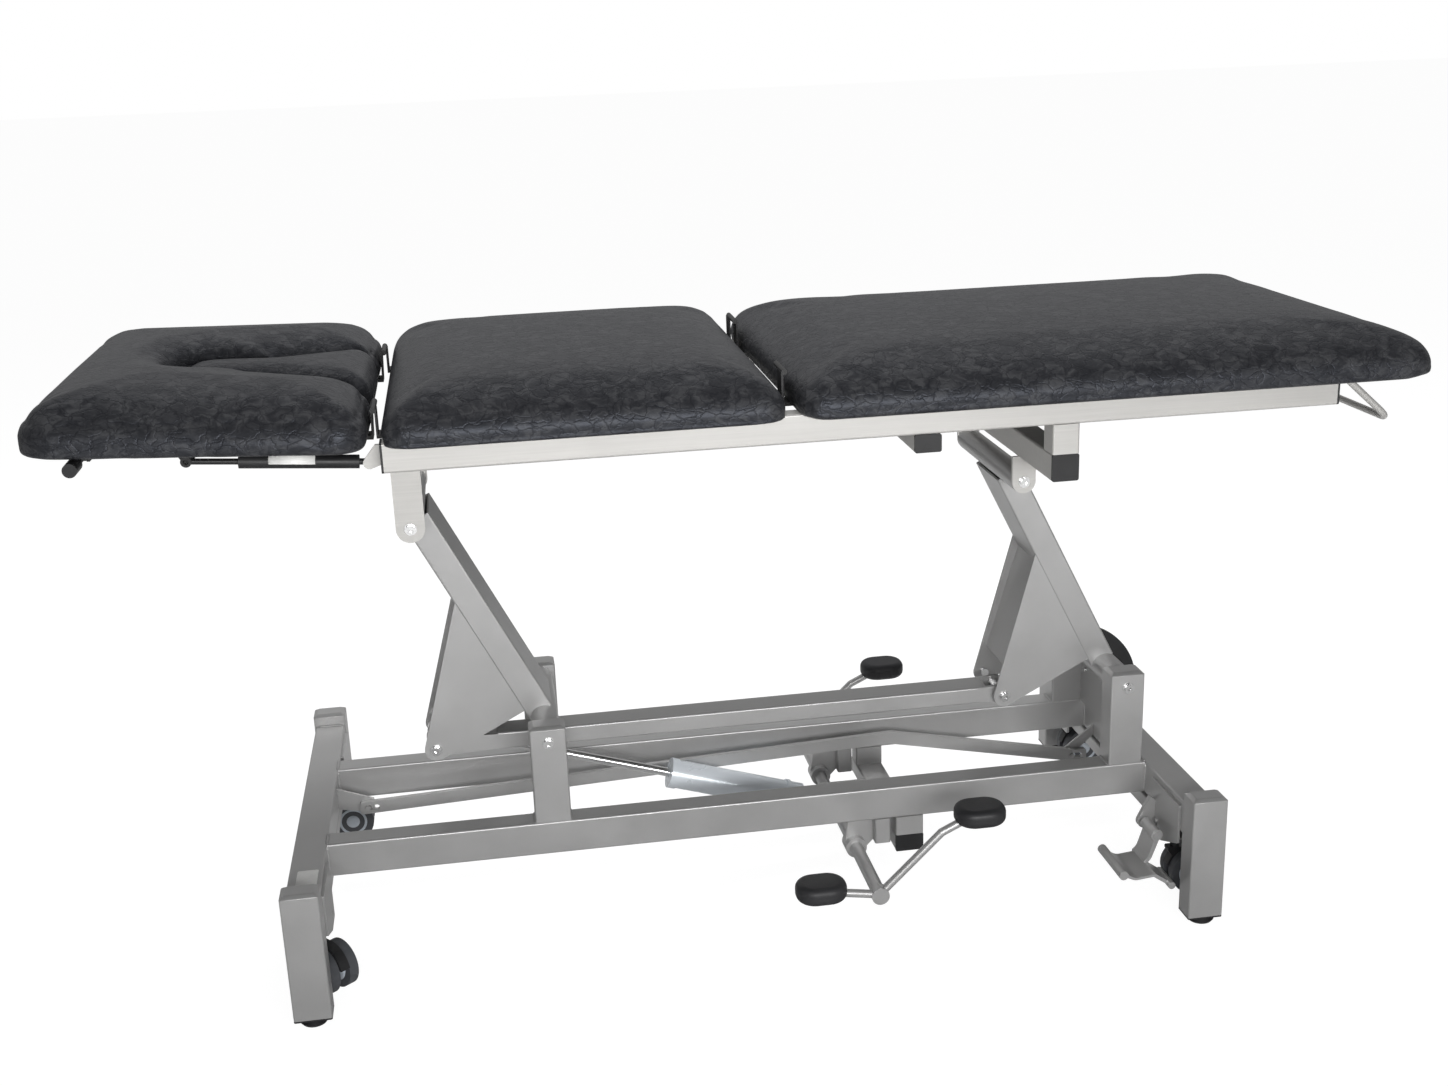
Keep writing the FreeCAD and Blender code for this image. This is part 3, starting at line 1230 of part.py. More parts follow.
# Gas springs: a tube on the frame and a thin rod that runs to a moving section
def gas_springs():
    head_lean = "0 - atan2(spring_dx; spring_dz) / 1 deg"
    gas_spring("head", "spring_base_x", "spring_y", "spring_base_z", head_lean, "spring_len", "spring_tube")
    long_lean = "atan2(long_dx; long_dz) / 1 deg"
    gas_spring("long", "long_spring_x", "long_spring_y", "long_spring_z", long_lean, "long_spring_len",
               "long_spring_tube")
    lugs = []
    tube_edge = "upper_left - cross_w / 2 - spring_base_x"
    lug = plate("y", [("about", "0", "0", "spring_eye_r + 1"), (tube_edge, "0 - 2"), (tube_edge, "24"),
                      ("9", "24")],
                "spring_lug_t", "spring_base_x", "0 - top_rail_in", "spring_base_z")
    pin = rod("y", "spring_y + spring_eye_w / 2 + top_rail_in", "spring_pin_r", "spring_base_x",
              "0 - top_rail_in", "spring_base_z")
    lugs.append(joined([lug, pin]))
    cross_edge = "split_long - 3.5 - long_spring_x"
    for side in (-1, 1):
        face = "long_spring_y - spring_eye_w / 2 - side_gap - spring_lug_t"
        if side > 0:
            face = "long_spring_y + spring_eye_w / 2 + side_gap"
        outline = [("about", "0", "0", "spring_eye_r + 1"), (cross_edge, "30"),
                   (cross_edge, "cross_low - long_spring_z"),
                   (cross_edge + " - 24", "cross_low - long_spring_z"),
                   (cross_edge + " - 24", "cross_low - long_spring_z - 8")]
        lugs.append(plate("y", outline, "spring_lug_t", "long_spring_x", face, "long_spring_z"))
    half = "(spring_eye_w / 2 + side_gap + spring_lug_t)"
    pin = rod("y", "2 * " + half, "spring_pin_r", "long_spring_x", "long_spring_y - " + half,
              "long_spring_z")
    group("gas_spring_lugs", [lugs[0], joined([pin] + lugs[1:])])


def gas_spring(name, x, y, z, lean, length, tube_length):
    """Tube with its eye at the origin and a rod that slides in it, both along one line."""
    half = "spring_eye_w / 2"
    shell = rod("z", tube_length, "spring_r", 0, 0, "14", "spring_rod_r + run_gap")
    base = rod("z", "9", "spring_eye_w / 2 - side_gap", 0, 0, "5")
    floor = rod("z", "4", "spring_r", 0, 0, "13")
    ring = rod("y", "spring_eye_w", "spring_eye_r", 0, "0 - " + half, 0)
    bore = rod("y", "spring_eye_w", "spring_pin_r + run_gap", 0, "0 - " + half, 0)
    keep(minus(joined([shell, base, floor, ring]), bore, x, y, z, lean), name + "_spring_tube")
    start = "14 + %s * 0.3" % tube_length
    bar = rod("z", "%s - 5 - (%s)" % (length, start), "spring_rod_r", 0, 0, start)
    eye = rod("y", "spring_eye_w", "spring_eye_r", 0, "0 - " + half, length)
    eye_bore = rod("y", "spring_eye_w", "spring_pin_r + run_gap", 0, "0 - " + half, length)
    keep(minus(joined([bar, eye]), eye_bore, x, y, z, lean), name + "_spring_rod")


def head_lug():
    """Bracket under the head board beside the rod eye of its gas spring."""
    reach = "spring_end_dx * cos(head_tilt * 1 deg) - spring_end_dz * sin(head_tilt * 1 deg)"
    drop = "spring_end_dx * sin(head_tilt * 1 deg) + spring_end_dz * cos(head_tilt * 1 deg)"
    board_low = "(foam_z - head_hinge_z - board_t)"
    y = "spring_y + spring_eye_w / 2 + spring_lug_t + side_gap"
    lug = plate("y", [("about", reach, drop, "spring_eye_r"), (reach + " + 20", board_low),
                      (reach + " - 20", board_low)], "spring_lug_t", 0, y, 0)
    stub = rod("y", "spring_lug_t * 2", "spring_pin_r", reach, "spring_y + spring_eye_w / 2 + side_gap",
               drop)
    return [lug, stub]


def lever_cheeks():
    """Cheeks under the head board and the pin that the release lever turns on."""
    board_low = "(foam_z - head_hinge_z - board_t)"
    x = "head_lever_x - split_head"
    z = "head_lever_z"
    y = "0 - head_lever_y"
    cheeks = []
    for start in ("%s - 10.3" % x, "%s + 6.3" % x):
        outline = [("%s - 9" % y, board_low), ("%s - 9" % y, "%s - 6" % z), ("%s + 9" % y, "%s - 6" % z),
                   ("%s + 9" % y, board_low)]
        cheeks.append(plate("x", outline, "4", start, 0, 0))
    pin = rod("x", "20.6", "spring_pin_r", "%s - 10.3" % x, y, z)
    return cheeks + [pin]


# Release lever under the head section
def head_lever():
    x = "head_lever_x - split_head"
    z = "head_lever_z"
    y = "0 - head_lever_y"
    blade = plate("y", box_corners("10", "6", 1), "head_lever_out - head_lever_y", x, "0 - head_lever_out",
                  z)
    hub = rod("x", "12", "7", "%s - 6" % x, y, z)
    grip = rod("y", "34", "9", x, "0 - head_lever_out", z)
    bore = rod("x", "12", "spring_pin_r + run_gap", "%s - 6" % x, y, z)
    keep(minus(joined([blade, hub, grip]), bore, "split_head", 0, "head_hinge_z", "head_tilt"),
         "head_release_lever")


MAKERS = [base_ends, base_rails, pivot_bolts, arms, tie_bar, jack, pump, pedals, castors, castor_tread,
          right_end,
          upper_frame, middle_section, long_section, head_section, fixed_leaves, long_subframe, bail,
          gas_springs,
          head_lever]
for maker in MAKERS:
    maker()
doc.recompute()

bad = [item.Label for item in doc.Objects if "Invalid" in item.State or "Error" in item.State]
if bad:
    raise RuntimeError("failed: %s" % bad)
os.makedirs("parts", exist_ok=True)
for piece in pieces:
    shape = piece.Shape
    if shape.isNull() or not shape.isValid():
        raise RuntimeError("bad shape: " + piece.Label)
for piece in pieces:
    piece.Shape.exportStep(os.path.join("parts", piece.Label + ".step"))
print(len(pieces), "pieces")
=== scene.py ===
import json
import math

import bmesh
import bpy
import numpy as np
from mathutils import Matrix, Vector

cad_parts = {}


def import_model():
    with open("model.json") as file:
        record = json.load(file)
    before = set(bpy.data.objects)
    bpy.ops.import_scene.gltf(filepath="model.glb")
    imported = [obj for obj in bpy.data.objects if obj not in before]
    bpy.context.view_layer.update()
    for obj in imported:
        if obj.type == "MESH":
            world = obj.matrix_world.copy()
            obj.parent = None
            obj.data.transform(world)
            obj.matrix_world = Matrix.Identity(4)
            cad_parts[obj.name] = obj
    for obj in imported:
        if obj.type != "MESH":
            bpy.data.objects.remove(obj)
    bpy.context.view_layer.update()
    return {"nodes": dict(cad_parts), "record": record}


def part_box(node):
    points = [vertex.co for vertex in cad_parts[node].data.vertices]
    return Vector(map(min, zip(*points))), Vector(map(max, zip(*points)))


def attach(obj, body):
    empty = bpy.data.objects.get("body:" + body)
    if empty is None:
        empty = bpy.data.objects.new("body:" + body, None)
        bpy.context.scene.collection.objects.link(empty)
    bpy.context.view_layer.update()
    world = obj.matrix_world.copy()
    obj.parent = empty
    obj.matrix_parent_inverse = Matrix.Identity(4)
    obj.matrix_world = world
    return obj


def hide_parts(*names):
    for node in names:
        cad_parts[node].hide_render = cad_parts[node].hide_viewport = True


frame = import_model()


# Materials
def new_material(name):
    material = bpy.data.materials.new(name)
    material.use_nodes = True
    tree = material.node_tree
    shader = tree.nodes["Principled BSDF"]
    return material, tree, shader


def add(tree, kind, **values):
    """A node with its inputs set by name, or linked where a value is a socket."""
    node = tree.nodes.new(kind)
    for key, value in values.items():
        if key in node.inputs:
            socket = node.inputs[key]
            if isinstance(value, bpy.types.NodeSocket):
                tree.links.new(value, socket)
            else:
                socket.default_value = value
        else:
            setattr(node, key, value)
    return node


def place(tree, scale=(1, 1, 1)):
    """Object coordinates, in metres, stretched by a scale."""
    coords = add(tree, "ShaderNodeTexCoord")
    mapping = add(tree, "ShaderNodeMapping", Scale=scale)
    tree.links.new(coords.outputs["Object"], mapping.inputs["Vector"])
    return mapping.outputs["Vector"]


def noise(tree, where, scale, detail=3.0, rough=0.5, distort=0.0):
    node = add(tree, "ShaderNodeTexNoise", Vector=where, Scale=scale, Detail=detail, Roughness=rough,
               Distortion=distort)
    return node.outputs["Fac"]


def remap(tree, value, low, high, out_low, out_high):
    node = tree.nodes.new("ShaderNodeMapRange")
    limits = {"From Min": low, "From Max": high, "To Min": out_low, "To Max": out_high}
    for name, number in limits.items():
        node.inputs[name].default_value = number
    tree.links.new(value, node.inputs["Value"])
    return node.outputs["Result"]


def ramp(tree, value, *stops):
    node = tree.nodes.new("ShaderNodeValToRGB")
    tree.links.new(value, node.inputs["Fac"])
    band = node.color_ramp
    while len(band.elements) < len(stops):
        band.elements.new(0.5)
    for element, (position, colour) in zip(band.elements, stops):
        element.position = position
        element.color = (*colour, 1)
    return node.outputs["Color"]


def bump(tree, shader, height, distance, strength=1.0):
    node = tree.nodes.new("ShaderNodeBump")
    node.inputs["Distance"].default_value = distance
    node.inputs["Strength"].default_value = strength
    tree.links.new(height, node.inputs["Height"])
    old = shader.inputs["Normal"]
    if old.is_linked:
        tree.links.new(old.links[0].from_socket, node.inputs["Normal"])
    tree.links.new(node.outputs["Normal"], old)


# Vinyl grain: a stretch of the pattern, then how many of each form there are in a metre
GRAIN_STRETCH = (0.85, 1.0, 1.25)
WARPS_PER_METRE = 38.0
CELLS_PER_METRE = 62.0
CREASES_PER_METRE = 210.0
WISPS_PER_METRE = 48.0
WARP_REACH = (0.034, 0.034, 0.034)
CRACK_WIDTH = 0.07
CRACK_COLOUR = (0.012, 0.0125, 0.015, 1)
WISP_TONES = [(0.4, (0.024, 0.0245, 0.0275)), (0.5, (0.035, 0.0355, 0.039)),
              (0.62, (0.058, 0.0585, 0.062))]
COOL_SHEEN = (0.8, 0.86, 1.0, 1)


def vinyl():
    """Crushed-grain upholstery: charcoal with fine dark cracks, paler wisps and a cool satin gloss."""
    material, tree, shader = new_material("vinyl_charcoal")
    where = place(tree, GRAIN_STRETCH)
    warp = add(tree, "ShaderNodeTexNoise", Vector=where, Scale=WARPS_PER_METRE, Detail=4.0)
    shifted = tree.nodes.new("ShaderNodeVectorMath")
    shifted.operation = "MULTIPLY_ADD"
    tree.links.new(warp.outputs["Color"], shifted.inputs[0])
    shifted.inputs[1].default_value = WARP_REACH
    tree.links.new(where, shifted.inputs[2])
    cells = add(tree, "ShaderNodeTexVoronoi", feature="DISTANCE_TO_EDGE", Scale=CELLS_PER_METRE)
    tree.links.new(shifted.outputs["Vector"], cells.inputs["Vector"])
    fine = add(tree, "ShaderNodeTexVoronoi", feature="DISTANCE_TO_EDGE", Scale=CREASES_PER_METRE)
    tree.links.new(shifted.outputs["Vector"], fine.inputs["Vector"])
    wisps = noise(tree, shifted.outputs["Vector"], WISPS_PER_METRE, 5.0, 0.62, 0.9)
    tone = ramp(tree, wisps, *WISP_TONES)
    crack = remap(tree, cells.outputs["Distance"], 0.0, CRACK_WIDTH, 0.6, 0.0)
    cracked = add(tree, "ShaderNodeMix", data_type="RGBA", blend_type="MIX")
    tree.links.new(crack, cracked.inputs[0])
    tree.links.new(tone, cracked.inputs[6])
    cracked.inputs[7].default_value = CRACK_COLOUR
    tree.links.new(cracked.outputs[2], shader.inputs["Base Color"])
    tree.links.new(remap(tree, wisps, 0.35, 0.7, 0.36, 0.46), shader.inputs["Roughness"])
    shader.inputs["Specular IOR Level"].default_value = 0.3
    shader.inputs["Specular Tint"].default_value = COOL_SHEEN
    bump(tree, shader, remap(tree, cells.outputs["Distance"], 0.0, 0.1, 0.0, 1.0), 0.0008, 0.45)
    bump(tree, shader, fine.outputs["Distance"], 0.0003, 0.5)
    bump(tree, shader, noise(tree, where, 40.0, 3.0, 0.5), 0.0014, 0.3)
    return material


def paint(name, colour, metallic, rough, flake=0.06):
    """Sprayed metal: fine metallic grain, faint unevenness and soft wear in the gloss."""
    material, tree, shader = new_material(name)
    where = place(tree)
    grain = noise(tree, where, 1400.0, 2.0)
    cloud = noise(tree, where, 7.0, 4.0, 0.6)
    low = tuple(c * (1 - flake) for c in colour)
    high = tuple(min(1.0, c * (1 + flake)) for c in colour)
    blend = tree.nodes.new("ShaderNodeMath")
    blend.operation = "MULTIPLY_ADD"
    tree.links.new(grain, blend.inputs[0])
    blend.inputs[1].default_value = 0.5
    tree.links.new(remap(tree, cloud, 0.3, 0.7, 0.0, 0.5), blend.inputs[2])
    tone = ramp(tree, blend.outputs["Value"], (0.25, low), (0.75, high))
    tree.links.new(tone, shader.inputs["Base Color"])
    tree.links.new(remap(tree, cloud, 0.3, 0.7, rough - 0.05, rough + 0.06), shader.inputs["Roughness"])
    shader.inputs["Metallic"].default_value = metallic
    bump(tree, shader, noise(tree, where, 260.0, 3.0), 0.00012, 0.35)
    return material


def brushed(name, colour, metallic, rough, stretch=(4, 260, 260)):
    """Satin steel with fine lengthwise brushing."""
    material, tree, shader = new_material(name)
    where = place(tree, stretch)
    lines = noise(tree, where, 1.6, 5.0, 0.7)
    cloud = noise(tree, place(tree), 5.0, 3.0)
    low = tuple(c * 0.93 for c in colour)
    high = tuple(min(1.0, c * 1.04) for c in colour)
    tree.links.new(ramp(tree, lines, (0.3, low), (0.7, high)), shader.inputs["Base Color"])
    tree.links.new(remap(tree, cloud, 0.3, 0.7, rough - 0.05, rough + 0.05), shader.inputs["Roughness"])
    shader.inputs["Metallic"].default_value = metallic
    bump(tree, shader, lines, 0.00008, 0.3)
    return material


def moulded(name, colour, rough, grain=500.0, depth=0.00015):
    """Moulded plastic or rubber with a fine texture and slightly dusty patches."""
    material, tree, shader = new_material(name)
    where = place(tree)
    dust = noise(tree, where, 18.0, 5.0, 0.6)
    dusty = tuple(c * 1.35 + 0.004 for c in colour)
    tree.links.new(ramp(tree, dust, (0.4, colour), (0.75, dusty)), shader.inputs["Base Color"])
    tree.links.new(remap(tree, dust, 0.3, 0.7, rough - 0.06, rough + 0.08), shader.inputs["Roughness"])
    bump(tree, shader, noise(tree, where, grain, 2.0), depth, 0.5)
    return material


def plated(name, colour, rough):
    """Bright plated steel with faint turning marks and smudges."""
    material, tree, shader = new_material(name)
    where = place(tree)
    smudge = noise(tree, where, 30.0, 4.0, 0.6)
    low = tuple(c * 0.9 for c in colour)
    tree.links.new(ramp(tree, smudge, (0.35, low), (0.65, colour)), shader.inputs["Base Color"])
    tree.links.new(remap(tree, smudge, 0.3, 0.7, rough, rough + 0.1), shader.inputs["Roughness"])
    shader.inputs["Metallic"].default_value = 1.0
    bump(tree, shader, noise(tree, where, 700.0, 2.0), 0.00004, 0.3)
    return material


VINYL = vinyl()
SILVER = paint("frame_silver_paint", (0.47, 0.468, 0.466), 0.55, 0.36)
STEEL = brushed("upper_frame_satin", (0.56, 0.55, 0.53), 0.3, 0.4)
BLACK = moulded("black_moulding", (0.012, 0.012, 0.013), 0.45)
PAD_RUBBER = moulded("pedal_rubber", (0.02, 0.02, 0.022), 0.5, 300.0, 0.0004)
CHROME = plated("bright_plating", (0.78, 0.78, 0.78), 0.14)
WOOD = moulded("board_sealed_black", (0.018, 0.017, 0.016), 0.7, 90.0, 0.0004)
TYRE = moulded("castor_grey", (0.06, 0.063, 0.07), 0.5)
JACK = paint("jack_silver_blue", (0.82, 0.87, 0.92), 0.25, 0.28, 0.02)
# Near-black paint for steel parts under the cushions: painted shade, standing in for the shadow these
# parts sit in
SHADE_DARKENED_STEEL = paint("steel_painted_shade", (0.022, 0.022, 0.023), 0.3, 0.4)

BY_SLOT = {"frame_silver": SILVER, "upper_steel": STEEL, "black_plastic": BLACK, "chrome": CHROME,
           "board": WOOD, "vinyl": VINYL, "wheel_rubber": TYRE, "jack_silver": JACK}
# Steel parts under the cushions that get the painted shade in place of their satin steel
NODES_IN_PAINTED_SHADE = ("hinge_leaves", "head_spring_rod", "head_subframe", "long_subframe")
for part in frame["record"]["subparts"]:
    node = frame["nodes"][part["node"]]
    chosen = BY_SLOT[part["material_slot"]]
    if part["node"] == "pedal_pads":
        chosen = PAD_RUBBER
    if part["node"] in NODES_IN_PAINTED_SHADE:
        chosen = SHADE_DARKENED_STEEL
    for index in range(len(node.material_slots)):
        node.material_slots[index].material = chosen


# Cushions: each is the foam's own form, remeshed, crowned and swelled like a filled cover
JOIN = 1e-6
FAR = 9.0
# Round under the cushions, where the cover turns in to the board
UNDER_EDGE = 0.013
# How far the cover's rim hangs below the board, and the inset and height over which that fades
COVER_DROP = 0.011
DROP_INSET = 0.03
DROP_HEIGHT = 0.05
# Inset over which the plain distance gives way to the one that shrinks towards corners
CORNER_BLEND = 0.03
# The face slot in the head section
SLOT_HALF_WIDTH = 0.125
SLOT_LEFT_END = -0.8


def node_mesh(name):
    source = frame["nodes"][name]
    deps = bpy.context.evaluated_depsgraph_get()
    return bpy.data.meshes.new_from_object(source.evaluated_get(deps))


def apply_all(piece):
    deps = bpy.context.evaluated_depsgraph_get()
    mesh = bpy.data.meshes.new_from_object(piece.evaluated_get(deps))
    piece.modifiers.clear()
    piece.data = mesh


def rim_of(mesh):
    """The underside's normal, one point on its lowest rim and that rim as pairs of points."""
    faces = bmesh.new()
    faces.from_mesh(mesh)
    bmesh.ops.remove_doubles(faces, verts=faces.verts, dist=JOIN)
    faces.normal_update()
    under = [f for f in faces.faces if f.normal.z < -0.9]
    down = max(under, key=lambda f: f.calc_area()).normal.copy()
    level = max(f.calc_center_median().dot(down) for f in under)
    lowest = [f for f in under if f.calc_center_median().dot(down) > level - 1e-4]
    flat = {f for f in lowest if f.normal.dot(down) > 0.9999}
    open_edges = {edge for edge in faces.edges if sum(f in flat for f in edge.link_faces) == 1}
    loops = []
    while open_edges:
        waiting = [open_edges.pop()]
        loop = []
        while waiting:
            edge = waiting.pop()
            loop.append(edge)
            beside = {e for v in edge.verts for e in v.link_edges} & open_edges
            open_edges -= beside
            waiting.extend(beside)
        loops.append(loop)
    outer = max(loops, key=lambda loop: sum(edge.calc_length() for edge in loop))
    pairs = [tuple(np.array(v.co) for v in edge.verts) for edge in outer]
    point = np.array(outer[0].verts[0].co)
    faces.free()
    return np.array(down), point, pairs


def plane_axes(up):
    """Two directions in the plane of the underside, along and across the table."""
    across = np.array((0.0, 1.0, 0.0))
    return np.stack((np.cross(across, up), across), axis=1)


def inset_of(points, pairs, up):
    """Signed distance of each point inside the rim, seen along the underside's normal."""
    axes = plane_axes(up)
    flat = points @ axes
    nearest = np.full(len(flat), FAR)
    inside = np.zeros(len(flat), bool)
    for start, end in ((a @ axes, b @ axes) for a, b in pairs):
        along = end - start
        reach = max(float(along @ along), 1e-12)
        share = np.clip((flat - start) @ along / reach, 0, 1)
        gap = np.linalg.norm(flat - start - share[:, None] * along, axis=1)
        nearest = np.minimum(nearest, gap)
        crosses = (start[1] > flat[:, 1]) != (end[1] > flat[:, 1])
        if start[1] != end[1]:
            meets = start[0] + (flat[:, 1] - start[1]) * along[0] / along[1]
            inside ^= crosses & (flat[:, 0] < meets)
    return np.where(inside, nearest, -nearest)


def soft_inset_of(points, pairs, up):
    """Inset that shrinks smoothly towards corners: a line's pull falls with the cube of distance."""
    axes = plane_axes(up)
    flat = points @ axes
    pull = np.zeros(len(flat))
    for start, end in ((a @ axes, b @ axes) for a, b in pairs):
        length = np.linalg.norm(end - start)
        along = (end - start) / length
        begin = (start - flat) @ along
        finish = begin + length
        apart = np.maximum(((flat - start) ** 2).sum(axis=1) - begin ** 2, 1e-10)
        pull += (finish / np.sqrt(apart + finish ** 2) - begin / np.sqrt(apart + begin ** 2)) / apart
    return np.sqrt(2 / np.maximum(pull, 1e-9))


def goal_of(where, pairs, up, profile):
    """Height that the profile asks for at each point, and the plain inset."""
    inset = np.maximum(inset_of(where, pairs, up) + UNDER_EDGE, 0)
    soft = np.minimum(soft_inset_of(where, pairs, up) + UNDER_EDGE, inset)
    blend = np.clip((inset - UNDER_EDGE * 1.5) / CORNER_BLEND, 0, 1)
    steps, heights = zip(*profile)
    return np.interp(inset + blend * (soft - inset), steps, heights), inset


def goal_beside(where, inset, pairs, up, profile):
    """The same for an open stretch of the rim. The inset gives the sign."""
    axes = plane_axes(up)
    flat = where @ axes
    nearest = np.full(len(flat), FAR)
    for start, end in ((a @ axes, b @ axes) for a, b in pairs):
        along = end - start
        share = np.clip((flat - start) @ along / max(float(along @ along), 1e-12), 0, 1)
        nearest = np.minimum(nearest, np.linalg.norm(flat - start - share[:, None] * along, axis=1))
    signed = np.where(inset > UNDER_EDGE, nearest, -nearest)
    steps, heights = zip(*profile)
    return np.interp(signed + UNDER_EDGE, steps, heights)


def in_slot(pair):
    """True for a piece of the rim that lies in the face slot."""
    return all(abs(point[1]) < SLOT_HALF_WIDTH and point[0] > SLOT_LEFT_END for point in pair)


def crown(piece, rim, foam_edge, profile, slot_profile=None):
    """Lift or lower each point so that the height over the inset follows the upholstered profile."""
    down, origin, pairs = rim
    up = -down
    mesh = piece.data
    where = np.empty(len(mesh.vertices) * 3)
    mesh.vertices.foreach_get("co", where)
    where = where.reshape(-1, 3)
    height = (where - origin) @ up
    goal, inset = goal_of(where, pairs, up, profile)
    if slot_profile:
        outer = [pair for pair in pairs if not in_slot(pair)]
        inner = [pair for pair in pairs if in_slot(pair)]
        goal = goal_beside(where, inset, outer, up, profile)
        goal = np.minimum(goal, goal_beside(where, inset, inner, up, slot_profile))
    tall = height.max()
    short = np.clip(foam_edge - inset, 0, foam_edge)
    slab = tall - foam_edge + np.sqrt(np.maximum(foam_edge ** 2 - short ** 2, 0))
    share = np.clip((height - UNDER_EDGE) / np.maximum(slab - UNDER_EDGE, 1e-6), 0, 1.1)
    new = np.where(height > UNDER_EDGE, UNDER_EDGE + share * (goal - UNDER_EDGE), height)
    near_rim = np.clip(1 - inset / DROP_INSET, 0, 1) ** 0.5
    new = new - COVER_DROP * near_rim * np.clip(1 - height / DROP_HEIGHT, 0, 1)
    where += (new - height)[:, None] * up
    mesh.vertices.foreach_set("co", where.ravel())
    mesh.update()


def pad(name, node, body, voxel, swell, foam_edge, profile, slot_profile=None, relax=12):
    source = node_mesh(node)
    rim = rim_of(source)
    piece = bpy.data.objects.new(name, source)
    bpy.context.collection.objects.link(piece)
    remesh = piece.modifiers.new("remesh", "REMESH")
    remesh.mode = "VOXEL"
    remesh.voxel_size = voxel
    apply_all(piece)
    crown(piece, rim, foam_edge, profile, slot_profile)
    soft = piece.modifiers.new("relax", "SMOOTH")
    soft.factor = 0.6
    soft.iterations = relax
    apply_all(piece)
    puff(piece, swell)
    fine = piece.modifiers.new("fine", "SUBSURF")
    fine.levels = 1
    fine.render_levels = 1
    apply_all(piece)
    for face in piece.data.polygons:
        face.use_smooth = True
    piece.data.materials.clear()
    piece.data.materials.append(VINYL)
    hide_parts(node)
    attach(piece, body)
    return piece


# Pressure run that fills the covers out
PUFF_FRAMES = 20
PUFF_PRESSURE = 4.0
COVER_STIFFNESS = 12.0
COVER_BENDING = 2.0
HELD_BELOW = -0.6


def puff(piece, swell):
    """Short pressure simulation with the flat underside held, and each point's travel capped."""
    rest = np.empty(len(piece.data.vertices) * 3)
    piece.data.vertices.foreach_get("co", rest)
    rest = rest.reshape(-1, 3)
    normals = np.empty_like(rest).ravel()
    piece.data.vertices.foreach_get("normal", normals)
    normals = normals.reshape(-1, 3)
    held = piece.vertex_groups.new(name="held")
    under = [int(i) for i in np.nonzero(normals[:, 2] < HELD_BELOW)[0]]
    held.add(under, 1.0, "REPLACE")
    cloth = piece.modifiers.new("cloth", "CLOTH")
    settings = cloth.settings
    settings.vertex_group_mass = "held"
    settings.use_pressure = True
    settings.uniform_pressure_force = PUFF_PRESSURE
    settings.effector_weights.gravity = 0.0
    settings.quality = 4
    settings.tension_stiffness = COVER_STIFFNESS
    settings.compression_stiffness = COVER_STIFFNESS
    settings.bending_stiffness = COVER_BENDING
    cloth.point_cache.frame_start = 1
    cloth.point_cache.frame_end = PUFF_FRAMES
    scene = bpy.context.scene
    for moment in range(1, PUFF_FRAMES + 1):
        scene.frame_set(moment)
    deps = bpy.context.evaluated_depsgraph_get()
    settled = bpy.data.meshes.new_from_object(piece.evaluated_get(deps))
    moved = np.empty(len(settled.vertices) * 3)
    settled.vertices.foreach_get("co", moved)
    travel = moved.reshape(-1, 3) - rest
    length = np.linalg.norm(travel, axis=1, keepdims=True)
    limit = np.minimum(1.0, swell / np.maximum(length, 1e-9))
    piece.modifiers.clear()
    piece.data.vertices.foreach_set("co", (rest + travel * limit).ravel())
    piece.data.update()
    scene.frame_set(1)


# Height of the cover over the distance from its edge: steep at the rim, then a long soft shoulder
WIDE_PROFILE = [(0, 0.018), (0.004, 0.0265), (0.014, 0.0385), (0.03, 0.0495), (0.05, 0.0565),
                (0.08, 0.0625), (0.12, 0.0665), (0.2, 0.07), (0.3, 0.071)]
HEAD_PROFILE = [(0, 0.018), (0.004, 0.0265), (0.012, 0.0375), (0.026, 0.0485), (0.045, 0.057),
                (0.08, 0.065), (0.14, 0.0715)]
SLOT_PROFILE = [(0, 0.03), (0.013, 0.03), (0.015, 0.044), (0.02, 0.053), (0.03, 0.061),
                (0.05, 0.0665), (0.08, 0.0715)]
PLUG_PROFILE = [(0, 0.02), (0.004, 0.034), (0.012, 0.0455), (0.024, 0.0525), (0.05, 0.056)]
WIDE_EDGE = 0.033
HEAD_EDGE = 0.022

pad("middle_pad", "middle_cushion", "upper_frame", 0.007, 0.004, WIDE_EDGE, WIDE_PROFILE)
pad("long_pad", "long_cushion", "long", 0.008, 0.004, WIDE_EDGE, WIDE_PROFILE)
pad("head_pad", "head_cushion", "head", 0.004, 0.003, HEAD_EDGE, HEAD_PROFILE, SLOT_PROFILE, 5)
pad("head_plug_pad", "head_plug", "head_insert", 0.004, 0.001, HEAD_EDGE, PLUG_PROFILE, None, 6)


# Helpers for the small fittings
def islands(name):
    """Lowest and highest corner of each separate solid of a node, from left to right."""
    faces = bmesh.new()
    faces.from_mesh(node_mesh(name))
    bmesh.ops.remove_doubles(faces, verts=faces.verts, dist=JOIN)
    left = set(faces.verts)
    found = []
    while left:
        waiting = [left.pop()]
        members = []
        while waiting:
            vert = waiting.pop()
            members.append(vert.co.copy())
            beside = {edge.other_vert(vert) for edge in vert.link_edges} & left
            left -= beside
            waiting.extend(beside)
        low = Vector([min(co[i] for co in members) for i in range(3)])
        high = Vector([max(co[i] for co in members) for i in range(3)])
        found.append((low, high))
    faces.free()
    return sorted(found, key=lambda pair: (round(pair[0].x, 2), pair[0].y))


